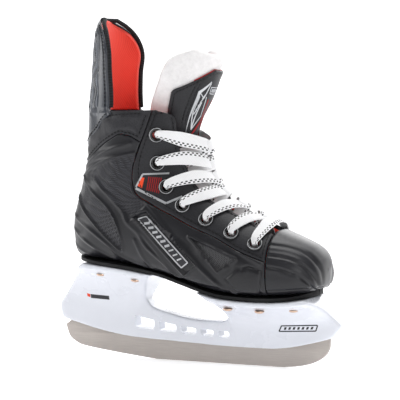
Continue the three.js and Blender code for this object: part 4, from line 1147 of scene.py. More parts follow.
def sole_plate(inset, low, high, rows=150, columns=40, toe_lift=0.0):
    a, b = unit_grid(rows, columns, -1)
    x = SOLE_REAR + inset + (SOLE_FRONT - SOLE_REAR - 2 * inset) * (0.5 - 0.5 * np.cos(math.pi * a))
    y = b * sole_half(x, inset) + TOE_SWING * (np.maximum(x, 0) / BOOT_LENGTH) ** 2
    roll = 0.45 * ease(np.abs(b), 0.93, 1.0)
    top = sole_line(x) + high - roll + toe_lift * ease(x, 82, SOLE_FRONT)
    return slab_piece(np.stack([x, y, top], -1), np.stack([x, y, sole_line(x) + low + roll], -1))


def build_sole():
    settle(sole_plate(0, OUTSOLE_LOW, OUTSOLE_TOP + 0.35, toe_lift=1.0), "outsole_plate", "root",
           ["outsole"], MATERIALS["sole"], 40)
    board = WALL + BOARD_AIR
    settle(sole_plate(BOARD_INSET, board, board + BOARD_THICK, 90, 24), "insole_board_plate", "root",
           ["insole_board"], MATERIALS["dark_fabric"], 40)
    bed = board + BOARD_THICK + GAP
    piece = sole_plate(BED_INSET, bed, bed + BED_THICK, 110, 30)
    settle(piece, "footbed_pad", "root", ["footbed"], MATERIALS["dark_fabric"], 50)


RAIL_HALF = 5.5
holder_low = through([(-107, 28.5), (-102, 26.6), (-92, 24), (-78, 20.6), (-60, 17.4), (-45, 15.8), (-10, 14.4),
                      (26, 13.1), (53, 13), (66, 13.5), (80, 15.7), (97, 20), (107, 23), (113, 25)])
rail_top = through([(-42, 47), (-36, 44.5), (-32.4, 40), (-27, 37.6), (-17, 35), (-1, 31.8), (18, 31),
                    (25, 31.2), (28.5, 34), (33, 38)])
TOWERS = (
    (through([(0, -106.5), (0.18, -108.5), (0.4, -103), (0.7, -93), (1, -82)]),
     through([(0, -38), (0.45, -37.5), (0.75, -33), (1, -25)]), 24.0, 0.3),
    (through([(0, 30), (0.5, 30), (0.75, 26), (0.9, 18), (1, 10)]),
     through([(0, 108), (0.22, 113.5), (0.5, 106.5), (0.8, 99.5), (1, 93.5)]), 30.0, 0.25),
)
FLANGE_THICK = 3.2
WINDOW_WALL = 4.0
window_low = through([(-46, 23.6), (-25, 21.6), (0, 20.6), (30, 18.8)])
window_high = through([(-46, 32.2), (-25, 28.6), (0, 25.2), (30, 23.8)])


def tower_piece(rear, front, flange_half, flare_start, rows=70, columns=60):
    a, b = unit_grid(rows, columns)
    x = rear(b) + (front(b) - rear(b)) * (0.5 - 0.5 * np.cos(math.pi * a))
    low, top = holder_low(x), sole_line(x) + HOLDER_TOP
    share = FLANGE_THICK / (top - low)
    v = np.where(b > 0.9, 1 - share * (1 - b) / 0.1, b / 0.9 * (1 - share))
    flare = np.maximum((np.minimum(b / 0.9, 1) - flare_start) / (1 - flare_start), 0) ** 2.3
    ends = np.sqrt(np.maximum(1 - np.abs(2 * a - 1) ** 5, 0))
    half = (RAIL_HALF + (flange_half - RAIL_HALF) * flare) * (0.42 + 0.58 * ends)
    z = low + (top - low) * v
    return slab_piece(np.stack([x, half, z], -1), np.stack([x, -half, z], -1))


def window_spans():
    start, end, count = -45.5, 29.5, 5
    shares = np.array([1 - 0.12 * i for i in range(count)])
    widths = shares * (end - start - WINDOW_WALL * (count - 1)) / shares.sum()
    spans = []
    for width in widths:
        spans.append((start, start + width))
        start += width + WINDOW_WALL
    return spans


def side_prism(outline, half):
    """A prism through the skate from a side-view outline in millimetres."""
    count = len(outline)
    points = [(x, y, z) for y in (-half, half) for x, z in outline]
    faces = [list(range(count)), list(range(count, 2 * count))[::-1]]
    faces += [[i, count + i, count + (i + 1) % count, (i + 1) % count] for i in range(count)]
    return mesh_piece("prism", points, faces)


def cut(piece, cutter, operation="DIFFERENCE"):
    apply_modifier(piece, "BOOLEAN", operation=operation, object=cutter, solver="EXACT")
    bpy.data.objects.remove(cutter, do_unlink=True)


def rounded_outline(corners, radius, steps=5):
    """Corner points with each corner cut to an arc."""
    corners = np.array(corners, float)
    out = []
    for i, corner in enumerate(corners):
        before, after = corners[i - 1] - corner, corners[(i + 1) % len(corners)] - corner
        reach = min(radius, 0.45 * np.linalg.norm(before), 0.45 * np.linalg.norm(after))
        start = corner + before / np.linalg.norm(before) * reach
        end = corner + after / np.linalg.norm(after) * reach
        for f in np.linspace(0, 1, steps):
            out.append((1 - f) ** 2 * start + 2 * f * (1 - f) * corner + f * f * end)
    return [tuple(p) for p in out]


def build_holder():
    rear, front = [tower_piece(*tower) for tower in TOWERS]
    a, b = np.meshgrid(np.linspace(-42, 33, 90), np.linspace(0, 1, 16), indexing="ij")
    z = holder_low(a) + (rail_top(a) - holder_low(a)) * b
    rail = slab_piece(np.stack([a, RAIL_HALF + 0 * a, z], -1), np.stack([a, -RAIL_HALF + 0 * a, z], -1))
    cut(rear, front, "UNION")
    cut(rear, rail, "UNION")
    apply_modifier(rear, "REMESH", mode="VOXEL", voxel_size=0.85 * MM)
    apply_modifier(rear, "SMOOTH", factor=0.6, iterations=7)
    for start, end in window_spans():
        outline = rounded_outline([(start - 0.8, window_high(start)), (start + 0.4, window_low(start)),
                                   (end - 0.2, window_low(end)), (end, window_high(end))], 1.6)
        cut(rear, side_prism(outline, 4 * RAIL_HALF))
    slot_outline = [(-107, 20), (-98, 27.8), (-92, 31.4), (-60, 31.4), (-60, 21.9), (-40, 17.4), (56, 17.4),
                    (60, 26.9), (92, 26.9), (105.6, 23), (107, 10), (60, -2), (-60, -2)]
    cut(rear, side_prism(slot_outline, BLADE_HALF + GAP))
    piece = settle(rear, "holder_moulding", "root", ["holder"], MATERIALS["holder"], 40)
    piece.data.polygons.foreach_set("use_smooth", [True] * len(piece.data.polygons))
    shade(piece, 40)


RIVETS = (("rear", (-67, -39), 18.5), ("front", (36, 60, 84), 24.5))


def build_rivets():
    dome = [(0.01, -1.5), (1.2, -1.42), (2.3, -1.15), (3.1, -0.7), (3.6, 0.0), (3.5, 0.35), (0.01, 0.35)]
    points, faces = revolve(dome, 28)
    for place, rows, across in RIVETS:
        for name, side in SIDES:
            for i, x in enumerate(rows):
                y = side * (across - (4 if x > 70 else 0))
                under = float(sole_line(x)) + HOLDER_TOP - FLANGE_THICK - 3.4
                piece = place_mesh(f"rivet_head_{place}_{name}_{i + 1}", points, faces, np.array([x, y, under]),
                                   (0, 0, 1))
                merge(piece, 2e-5)
                settle(piece, piece.name, "root", [f"rivet_{place}_{name}_{i + 1}"],
                       MATERIALS["copper"], 40)


blade_rear = through([(-105, 22), (-102, 14), (-97, 9.8), (-91, 7.2), (-63, 3.4), (-30, 0)])
blade_nose = through([(70, 0), (83, 1.7), (93.5, 4.8), (101, 9.8), (104.3, 15.5), (105, 22)])


def build_blade():
    rear = [(x, float(blade_rear(x))) for x in (-105 + 75 * np.linspace(0, 1, 60) ** 2)]
    nose = [(x, float(blade_nose(x))) for x in (105 - 35 * np.linspace(1, 0, 50) ** 2)]
    outline = rear + nose + [(100, 24.5), (92, 26.5), (60, 26.5), (56, 17), (-40, 17), (-60, 21.5), (-60, 31),
                             (-92, 31), (-98, 27.5)]
    piece = side_prism(outline, BLADE_HALF)
    apply_modifier(piece, "BEVEL", width=0.25 * MM, segments=2, limit_method="ANGLE", angle_limit=math.radians(50))
    settle(piece, "blade_runner", "root", ["blade"], MATERIALS["steel"], 30)
    for name in ("blade_pin_rear", "blade_pin_front"):
        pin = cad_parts[name]
        pin.data.materials.clear()
        pin.data.materials.append(MATERIALS["steel"])


def build_holder_marks():
    """A small red square with a dark bar at the rear, and an outlined slanted box at the front."""
    for name, side in SIDES:
        marks = []
        for (x0, z0, x1, z1), key in (((-84.5, 44.6, -82.0, 47.0), "orange_print"),
                                      ((-81.6, 43.4, -66.0, 46.4), "dark_print")):
            marks.append((key, [(x0, z0), (x0, z1), (x1, z1 - 0.6), (x1, z0 - 0.6)]))
        frame_points = [(68, 26.3), (70.5, 30.6), (97, 32.2), (95.5, 27.9)]
        for i, start in enumerate(frame_points):
            end = frame_points[(i + 1) % 4]
            d = np.subtract(end, start) / np.linalg.norm(np.subtract(end, start))
            n = np.array([-d[1], d[0]]) * 0.45
            marks.append(("dark_print", [tuple(start - n), tuple(start + n), tuple(end + n), tuple(end - n)]))
        for share in np.linspace(0.12, 0.84, 7):
            low = np.array(frame_points[0]) + (np.array(frame_points[3]) - frame_points[0]) * share + (0.4, 1.2)
            marks.append(("dark_print", [tuple(low), tuple(low + (0.9, 2.0)), tuple(low + (2.6, 2.1)),
                                         tuple(low + (1.7, 0.1))]))
        for number, (key, corners) in enumerate(marks):
            piece = side_prism(corners, 0.2)
            piece.data.transform(Matrix.Translation((0, side * 40 * MM, 0)))
            apply_modifier(piece, "SUBSURF", subdivision_type="SIMPLE", levels=2, render_levels=2)
            apply_modifier(piece, "SHRINKWRAP", target=bpy.data.objects["holder_moulding"], wrap_method="PROJECT",
                           use_project_y=True, use_negative_direction=side > 0, use_positive_direction=side < 0,
                           offset=0.06 * MM)
            settle(piece, f"holder_mark_{name}_{number + 1}", "root", (), MATERIALS[key], 0)


# ------------------------------------------------------------------ tongue
U_ANGLE = math.radians(80)
FELT_OUT = -2.3
COVER_THICK = 1.6
TONGUE_TOP = 10.0
TONGUE_ROWS = ((61, 96, 13, 14), (45, 104.5, 15, 18), (30, 111.5, 16.5, 20), (17, 120.5, 17.5, 23),
               (6, 134, 18.5, 27), (1.5, 149, 19.5, 31), (1.5, 163, 20, 32), (5.5, 177, 23, 34),
               (13, 192, 28, 34), (19, 207, 29, 32), (25, 220.5, 25, 24))
tongue_x, tongue_z, tongue_half, tongue_depth = [through([(i, row[n]) for i, row in enumerate(TONGUE_ROWS)])
                                                 for n in range(4)]


def u_across(q, half):
    return half * np.sin(q * U_ANGLE) / math.sin(U_ANGLE)


def u_drop(q, depth):
    return depth * (1 - np.cos(q * U_ANGLE)) / (1 - math.cos(U_ANGLE))


def tongue_point(v, q):
    """Front surface of the tongue: v is the row, q the share of its whole half width."""
    v, q = paired(v, q)
    drop = u_drop(q, tongue_depth(v))
    rise = np.stack([tongue_x(v + 0.1) - tongue_x(v - 0.1), tongue_z(v + 0.1) - tongue_z(v - 0.1)], -1)
    rise = unit(rise)
    return np.stack([tongue_x(v) - rise[..., 1] * drop, u_across(q, tongue_half(v)),
                     tongue_z(v) + rise[..., 0] * drop], -1)


def tongue_normal(v, q):
    d = 0.02
    v, q = paired(v, q)
    v0 = np.clip(v, 0.05, TONGUE_TOP - 0.12)
    up = tongue_point(v0 + d, q) - tongue_point(v0 - d, q)
    across = tongue_point(v0, q + d) - tongue_point(v0, q - d)
    return unit(np.cross(across, up))


def on_tongue(v, q, out):
    return tongue_point(v, q) + tongue_normal(v, q) * np.asarray(out, float)[..., None]


def puffed(points, radius):
    """How far a cushion's faces sink towards its rim, rounding it off."""
    f = np.clip(edge_distance(points) / radius, 0, 1)
    return radius * (1 - np.sqrt(1 - (1 - f) ** 2))


def cloth_noise(points, scale, seed=0.0):
    return np.array([noise.noise(Vector(p) * scale + Vector((seed, seed, seed)))
                     for p in points.reshape(-1, 3)]).reshape(points.shape[:-1])


def build_tongue_felt(sizes):
    rows, columns = 210, 110
    a, b = unit_grid(rows, columns, -1)
    v = a * TONGUE_TOP
    inset = 5 * np.maximum((v - 8.6) / 1.4, 0) ** 3
    q = b * (1 - inset / tongue_half(v))
    base = tongue_point(v, q)
    round_off = puffed(base, 0.47 * sizes.felt_thickness / MM)
    fuzz = 0.35 * cloth_noise(base, 0.12) + 0.16 * cloth_noise(base, 0.6, 3.0)
    outer = on_tongue(v, q, FELT_OUT - round_off * 0.96 + np.minimum(fuzz, 0.25) * (v > 8.5) - 0.1)
    inner = on_tongue(v, q, FELT_OUT - sizes.felt_thickness / MM + round_off * 0.96 - 0.5 * fuzz)
    piece = slab_piece(outer, inner)
    height = np.concatenate([outer[..., 2].ravel(), inner[..., 2].ravel()])
    # Pink tint on the felt's lower part, fading out between 172 and 200 mm up.
    point_attribute(piece, "blush", 0.6 * (1 - ease(height, 172, 200)) + 0.05)
    bound = 1 - ease(v, 6.1, 6.5)
    point_attribute(piece, "bound", np.concatenate([bound.ravel(), 0 * bound.ravel()]))
    settle(piece, "tongue_felt", None, ["tongue_felt_lower", "tongue_felt_top"],
           MATERIALS["felt"], 80)
    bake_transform(piece)


def cover_half(v):
    """Share of the tongue's half width that the cover takes: narrow below, chamfered at the top."""
    inset = 11.5 + (6.3 - 11.5) * ease(v, 5.2, 6.5)
    wide = 1 - inset / tongue_half(v)
    return wide + (0.18 - wide) * np.clip((v - 7.6) / 1.73, 0, 1) ** 1.3


def build_tongue_cover(sizes):
    rows, columns = 330, 150
    a, b = unit_grid(rows, columns, -1)
    v = 0.3 + a * 9.03
    q = b * cover_half(v)
    base = tongue_point(v, q)
    rim = rolled(base, 0.8, 1.1)
    seam = np.abs(q) - (0.47 - 0.06 * np.clip((v - 8.0) / 1.3, 0, 1))
    grooves = -0.55 * np.exp(-(seam / 0.012) ** 2) - 0.45 * np.exp(-((seam + 0.06) / 0.014) ** 2)
    centre = 0.35 * ease(-seam, 0.07, 0.12) * ease(v, 6.5, 7.2)
    grain = 0.14 * cloth_noise(base, 0.14)
    upper = ease(v, 6.3, 7.0)
    outer = on_tongue(v, q, rim - 0.35 + (grooves + centre) * upper + grain)
    inner = on_tongue(v, q, -COVER_THICK + 0 * v)
    piece = slab_piece(outer, inner)
    settle(piece, "tongue_cover", None, ["tongue_cover_lower", "tongue_cover_top"],
           MATERIALS["leather"], 60)
    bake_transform(piece)
    lines, normals = [], []
    for side in (-1, 1):
        rows = np.linspace(6.4, 9.2, 120)
        q = side * (cover_half(rows) - 0.055)
        lines.append(tongue_point(rows, q))
        normals.append(tongue_normal(rows, q))
        for shift in (0.0, -0.06):
            share = 0.47 - 0.06 * np.clip((rows - 8.0) / 1.3, 0, 1) + shift
            kept = rows[share < cover_half(rows) - 0.09]
            q = side * share[:len(kept)]
            lines.append(on_tongue(kept, q, -0.7 + 0 * kept))
            normals.append(tongue_normal(kept, q))
    top = np.linspace(-0.14, 0.14, 30)
    lines.append(tongue_point(9.2, top))
    normals.append(tongue_normal(9.2, top))
    stitches = stitch_piece("tongue_stitches", lines, normals, sizes, None, 2.8, -0.15)
    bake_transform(stitches)
    edge = np.concatenate([cover_rim(-1), cover_rim(1)[::-1]])
    piping = tube_piece(edge, 0.42, 8)
    settle(piping, "tongue_piping", None, (), MATERIALS["red_print"], 60)
    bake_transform(piping)


def cover_rim(side):
    rows = np.linspace(8.6, 9.33, 40)
    return on_tongue(rows, side * (cover_half(rows) + 0.004), -COVER_THICK + 0 * rows)


def tongue_patch(corners, out=0.12, rows=10, columns=4, thick=0.25):
    """A thin print between four (q, v) corners on the tongue's cover."""
    q, v = between_corners(corners, rows, columns)
    return slab_piece(on_tongue(v, q, out + 0 * v), on_tongue(v, q, out - thick + 0 * v))


def tongue_bar(start, end, width, out=0.14):
    """A straight print on the tongue between two (q, v) places; the width is in millimetres."""
    (q0, v0), (q1, v1) = start, end
    direction = np.array([(q1 - q0) * 38, (v1 - v0) * 15])
    across = np.array([-direction[1], direction[0]]) / np.linalg.norm(direction) * width / 2
    dq, dv = across[0] / 38, across[1] / 15
    return tongue_patch(((q0 - dq, v0 - dv), (q0 + dq, v0 + dv), (q1 + dq, v1 + dv), (q1 - dq, v1 - dv)), out,
                        max(6, int(np.linalg.norm(direction) / 1.5)), 3)


def build_tongue_prints():
    silver, red, dark = [], [], []
    for side in (-1, 1):
        silver.append(tongue_patch(((side * 0.365, 6.25), (side * 0.36, 6.25), (side * 0.325, 8.15),
                                    (side * 0.375, 8.2)), 0.14, 24, 4))
        silver.append(tongue_patch(((side * 0.375, 8.2), (side * 0.325, 8.15), (side * 0.165, 8.72),
                                    (side * 0.18, 8.78)), 0.14, 12, 4))
        for start, end, width in (((0.325, 8.15), (0.225, 7.95), 0.6), ((0.225, 7.95), (0.17, 8.68), 0.7),
                                  ((0.325, 7.25), (0.26, 6.42), 0.8), ((0.26, 6.42), (0.10, 7.15), 0.7),
                                  ((0.10, 7.15), (0.175, 8.05), 0.6), ((0.255, 6.5), (0.235, 7.75), 0.9),
                                  ((0.325, 7.25), (0.32, 8.0), 0.6)):
            silver.append(tongue_bar((side * start[0], start[1]), (side * end[0], end[1]), width))
        for i in range(5):
            v = 7.15 + 0.19 * i
            dark.append(tongue_bar((side * (0.30 - 0.012 * i), v), (side * (0.265 - 0.012 * i), v + 0.24), 0.7))
        for start, end, width in (((0.235, 6.15), (0.015, 7.05), 1.1), ((0.02, 6.98), (0.095, 7.95), 0.9),
                                  ((0.175, 6.3), (0.02, 6.85), 0.5)):
            red.append(tongue_bar((side * start[0], start[1]), (side * end[0], end[1]), width))
    box = [(-0.12, 8.22), (-0.135, 8.52), (0.135, 8.52), (0.12, 8.22)]
    for i in range(4):
        silver.append(tongue_bar(box[i], box[(i + 1) % 4], 0.5))
    for q in np.linspace(-0.085, 0.085, 6):
        silver.append(tongue_bar((q, 8.29), (q, 8.45), 0.75))
    for name, parts, key in (("silver", silver, "silver"), ("red", red, "red_print"),
                             ("hatch", dark, "silver")):
        piece = settle(join(parts), f"tongue_print_{name}", None, (), MATERIALS[key], 40)
        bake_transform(piece)


# ------------------------------------------------------------------ tendon guard and padding
GUARD_FOOT, GUARD_TOP = 184.2, 251.0
guard_back = through([(183, -83.6), (190, -82.6), (211, -80), (235, -77), (251, -75.3)])
guard_half = through([(183, 28.5), (195, 27.5), (212, 29), (224, 31), (232, 30), (240, 26), (246, 20),
                      (251, 9)])
guard_depth = through([(183, 28), (195, 26), (212, 23.5), (224, 22.5), (232, 20), (240, 15.5), (246, 10),
                       (251, 4.5)])
patch_edge = through([(0, 14.8), (0.15, 14.9), (0.29, 15.25), (0.33, 15.5), (0.38, 15.75), (0.42, 15.9)])
FOOT_HALF = 0.405
GUARD_THICK, GUARD_LINING_THICK = 2.6, 4.0


def guard_point(z, q):
    z, q = paired(z, q)
    return np.stack([guard_back(z) + u_drop(q, guard_depth(z)), u_across(q, guard_half(z)), z], -1)


def grid_normals(points, towards):
    """Normals of a grid, turned to the side of a direction that varies or stays."""
    down = np.gradient(points, axis=0)
    along = np.gradient(points, axis=1)
    normal = unit(np.cross(down, along))
    flip = np.sign((normal * towards).sum(axis=-1).sum())
    return normal * flip


def build_guard(sizes):
    foot_rows, rows, columns = 40, 150, 150
    b = np.linspace(-1, 1, columns)
    t = FOOT_HALF * b
    share = np.linspace(0, 1, foot_rows)[:, None]
    s = patch_edge(np.abs(t))[None] * (1 - share) + 15.93 * share
    foot = on_last(s, np.broadcast_to(t, s.shape), 1.9 + 0 * s)
    z = np.linspace(GUARD_FOOT + 1.2, GUARD_TOP, rows)[:, None]
    shell = guard_point(z, b[None])
    base = np.concatenate([foot, shell])
    normal = grid_normals(base, np.array([-1.0, 0, 0]))
    q = np.broadcast_to(b, base.shape[:2])
    height = base[..., 2]
    distance = edge_distance(base)
    field = ease(0.76 - np.abs(q), 0.0, 0.06) * ease(height, 176, 190) * ease(GUARD_TOP - height, 5, 12)
    wave = np.abs(q) * 6.2 + 0.9 * np.sin((height - 184) * 0.105) + 0.35 * np.sin(height * 0.31)
    ridge = np.sin(wave * 2.1) ** 2
    relief = 1.5 * field * (ridge - 0.5) - 0.4 * np.exp(-((distance - 3.2) / 0.6) ** 2)
    rim = rolled(base, 1.0, 1.4)
    on_foot = np.concatenate([np.ones_like(foot[..., 0]), np.zeros_like(shell[..., 0])])
    thick = np.where(on_foot > 0, 1.35, 0.25 + GUARD_THICK)
    outer = base + normal * (np.minimum(relief, 0.5) - 0.5 + rim)[..., None]
    inner = base - normal * thick[..., None]
    piece = slab_piece(outer, inner)
    # Painted highlight: the mask that makes the guard's colour light on the ridge tops and leaves the grooves dark.
    raised = 0.12 + 0.88 * field * ease(ridge, 0.35, 0.8)
    point_attribute(piece, "raised", np.concatenate([raised.ravel(), np.zeros(raised.size)]))
    settle(piece, "guard_shell", None, ["tendon_guard_shell", "guard_foot"],
           MATERIALS["guard"], 60)
    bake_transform(piece)
    lines, normals = [], []
    for side in (-1, 1):
        line_z = np.linspace(186, 246, 120)
        line_q = side * (1 - 3.2 / (guard_half(line_z) * 1.35))
        points = guard_point(line_z, line_q)
        lines.append(points)
        normals.append(unit(points - guard_point(line_z, 0 * line_z) * np.array([1, 0, 1])
                            + np.array([-24.0, 0, 0])))
    foot_t = np.linspace(-0.375, 0.375, 120)
    foot_s = patch_edge(np.abs(foot_t)) + 0.16
    lines.append(on_last(foot_s, foot_t, 1.7 + 0 * foot_t))
    normals.append(last_normal(foot_s, foot_t))
    stitches = stitch_piece("guard_stitches", lines, normals, sizes, None, 2.9, -0.1)
    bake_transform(stitches)


def build_guard_lining():
    rows, columns = 120, 120
    z = np.linspace(GUARD_FOOT + 0.3, GUARD_TOP - 0.7, rows)[:, None]
    b = np.linspace(-0.975, 0.975, columns)[None]
    base = guard_point(z, b)
    normal = grid_normals(base, np.array([-1.0, 0, 0]))
    puff = puffed(base, 1.5)
    outer = base - normal * (GUARD_THICK + 0.45 + 0.05 * puff)[..., None]
    soft = 0.3 * cloth_noise(base, 0.05)
    inner = base - normal * (GUARD_THICK + 0.7 + GUARD_LINING_THICK - 0.3 - 1.05 * puff + soft)[..., None]
    piece = slab_piece(outer, inner)
    settle(piece, "guard_lining", "tendon_guard", ["tendon_guard_lining"], MATERIALS["red"], 70)
    side_z = np.linspace(GUARD_FOOT + 1.5, GUARD_TOP - 0.9, 90)
    left = guard_point(side_z, -0.975 + 0 * side_z)
    over = guard_point(GUARD_TOP - 0.9, np.linspace(-0.975, 0.975, 24)[1:-1])
    right = guard_point(side_z, 0.975 + 0 * side_z)
    line = np.concatenate([left, over, right[::-1]])
    inward_shift = unit(np.array([-30.0, 0, 0]) - line * np.array([1, 1, 0])) * 2.9
    binding = tube_piece(line + inward_shift, 1.6, 12)
    settle(binding, "guard_binding", "tendon_guard", (), MATERIALS["binding"], 70)


def build_ankle_pads():
    for name, side in SIDES:
        s, t = side_places(steady(11.0), steady(15.0), steady(0.22), steady(0.46), 60, 50)
        base = last_point(s, side * t)
        puff = puffed(base, 1.6)
        top = LINING_IN - 3 * GAP
        piece = side_panel(s, t, side, top - 0.6 * puff, top - 3.5 + puff)
        settle(piece, f"ankle_pad_{name}_foam", "root", [f"ankle_pad_{name}"], MATERIALS["dark_fabric"], 60)


# ------------------------------------------------------------------ lace
UNDER = LINING_IN - 3.4
NARROW = (4.1, 2.1)


def lace_stop(s, t, out, size):
    normal = last_normal(np.array(s), np.array(t))
    return last_point(np.array(s), np.array(t)) + normal * out, normal, size


def hole_stops(index, side):
    """Stops from above an eyelet down through its hole."""
    s, t = EYELET_PLACES[index]
    at, normal = eyelet_frame(side, (s, t))
    to_throat = unit(on_last(np.array(s), np.array(side * (t + 0.05))) - at)
    leaning = unit(normal - 0.8 * to_throat)
    stops = [(at + normal * 3.7 + to_throat * 2, leaning, (6.0, 1.8))]
    return stops + [(at + normal * distance, -to_throat, NARROW) for distance in (1.8, -1.0, LINING_IN - 1)]


def station_near(t, start, end, share):
    """The station where the line along the boot at t passes nearest to a share of the way between two points."""
    target = start + (end - start) * share
    stations = np.arange(TOE_SEAM, LAST_STATION, 0.05)
    line = last_point(stations, t)
    return stations[np.hypot(line[:, 0] - target[0], line[:, 2] - target[2]).argmin()]


def strand(start_side, sizes_wide):
    stops, side = [], start_side
    for i in range(len(EYELET_PLACES) - 1):
        low, high = [eyelet_frame(side, EYELET_PLACES[k])[0] for k in (i, i + 1)]
        sag = 0.4 * (max(i - 2, 0) / 3) ** 1.5
        leave, cross, arrive = [station_near(t, low, high, share) for t, share in
                                ((0.8, min(0.2, 0.4 - sag)), (1.0, 0.5 - sag), (0.83, 0.8))]
        stops.append(lace_stop(leave, side * (float(throat_edge(leave)) - 0.05), UNDER, sizes_wide))
        between = leave + (cross - leave) * 0.3
        stops.append(lace_stop(between, side * (float(throat_edge(leave)) + 0.05), UNDER + 4, sizes_wide))
        over = 0 if (i % 2 == 0) == (start_side > 0) else 1.2 + 2 * GAP
        lift = 1.2 + over + (1.2 if i > 2 else 0) + 2.6 * max(i - 3, 0)
        stops.append(lace_stop(cross, side * 0.998, lift, sizes_wide))
        side = -side
        stops.append(lace_stop(arrive, side * (float(throat_edge(arrive)) + 0.01), 2.2, sizes_wide))
        stops += hole_stops(i + 1, side)
    s, t = EYELET_PLACES[-1]
    stops.append(lace_stop(s - 0.7, side * (t - 0.08), UNDER - 0.6, sizes_wide))
    stops.append(lace_stop(s - 1.6, side * (t - 0.14), UNDER - 0.6, sizes_wide))
    return stops


def lace_route(sizes_wide):
    s = EYELET_PLACES[0][0] - 0.12
    bar = [lace_stop(s, -0.9, 3.4, sizes_wide), lace_stop(s, 0.998, 3.6, sizes_wide),
           lace_stop(s, 0.9, 3.4, sizes_wide)]
    left = hole_stops(0, -1.0) + strand(-1.0, sizes_wide)
    right = hole_stops(0, 1.0) + strand(1.0, sizes_wide)
    return left[::-1] + bar + right


def centripetal(points, steps):
    """A centripetal Catmull-Rom line through points, with the share of the way between its stops."""
    p = np.vstack([2 * points[0] - points[1], points, 2 * points[-1] - points[-2]])
    line, shares = [], []
    for i in range(len(points) - 1):
        a, b, c, d = p[i:i + 4]
        gaps = [max(np.linalg.norm(y - x), 1e-4) ** 0.5 for x, y in ((a, b), (b, c), (c, d))]
        m1 = ((b - a) / gaps[0] - (c - a) / (gaps[0] + gaps[1]) + (c - b) / gaps[1]) * gaps[1]
        m2 = ((c - b) / gaps[1] - (d - b) / (gaps[1] + gaps[2]) + (d - c) / gaps[2]) * gaps[1]
        for f in np.arange(steps) / steps:
            line.append((2 * f ** 3 - 3 * f ** 2 + 1) * b + (f ** 3 - 2 * f ** 2 + f) * m1
                        + (3 * f ** 2 - 2 * f ** 3) * c + (f ** 3 - f ** 2) * m2)
            shares.append(i + f)
    return np.array(line + [points[-1]]), np.array(shares + [len(points) - 1.0])


def build_lace(sizes):
    stops = lace_route((sizes.lace_width / MM, sizes.lace_thickness / MM))
    line, shares = centripetal(np.array([stop[0] for stop in stops]), 14)
    places = np.arange(len(stops))
    normals = unit(np.stack([np.interp(shares, places, [stop[1][k] for stop in stops]) for k in range(3)], -1))
    width = np.interp(shares, places, [stop[2][0] for stop in stops]) / 2
    thick = np.interp(shares, places, [stop[2][1] for stop in stops]) / 2
    tangent = unit(np.gradient(line, axis=0))
    across = unit(np.cross(tangent, normals))
    up = np.cross(across, tangent)
    sides = 36
    angle = np.linspace(0, 2 * math.pi, sides, endpoint=False)
    flat_x = np.sign(np.cos(angle)) * np.abs(np.cos(angle)) ** 0.55
    flat_y = np.sign(np.sin(angle)) * np.abs(np.sin(angle)) ** 0.8
    pinch = np.clip((4.3 - width) / 2.2, 0, 1)[:, None]
    pleat = 0.22 * pinch * np.cos(3 * math.pi * flat_x)[None]
    wander = np.array([noise.noise(Vector(p) * 0.09) for p in line])[:, None]
    x = width[:, None] * flat_x[None] * (1 + 0.03 * wander)
    y = thick[:, None] * flat_y[None] + pleat + 0.22 * wander * (flat_x ** 2)[None]
    rings = line[:, None] + across[:, None] * x[..., None] + up[:, None] * y[..., None]
    count = len(line)
    index = np.arange(count * sides).reshape(count, sides)
    nxt = np.roll(index, -1, axis=1)
    faces = np.stack([index[:-1], nxt[:-1], nxt[1:], index[1:]], -1).reshape(-1, 4).tolist()
    faces += [index[0].tolist()[::-1], index[-1].tolist()]
    along = np.concatenate([[0], np.cumsum(np.linalg.norm(np.diff(line, axis=0), axis=1))])
    half = sizes.lace_width / MM / 2
    uv = np.stack(np.broadcast_arrays(along[:, None], (half * flat_x)[None]), -1).reshape(-1, 2)
    piece = mesh_piece("lace", rings.reshape(-1, 3), faces, uv)
    settle(piece, "lace_band", "root", ["lace"], MATERIALS["lace"], 60)


# ------------------------------------------------------------------ stage
def area_light(name, place, target, size, power, colour=(1, 1, 1)):
    data = bpy.data.lights.new(name, "AREA")
    data.shape = "RECTANGLE"
    data.size, data.size_y = size
    data.energy = power
    data.color = colour
    light = bpy.data.objects.new(name, data)
    light.location = place
    light.rotation_euler = (Vector(target) - Vector(place)).to_track_quat("-Z", "Y").to_euler()
    bpy.context.collection.objects.link(light)
    return light


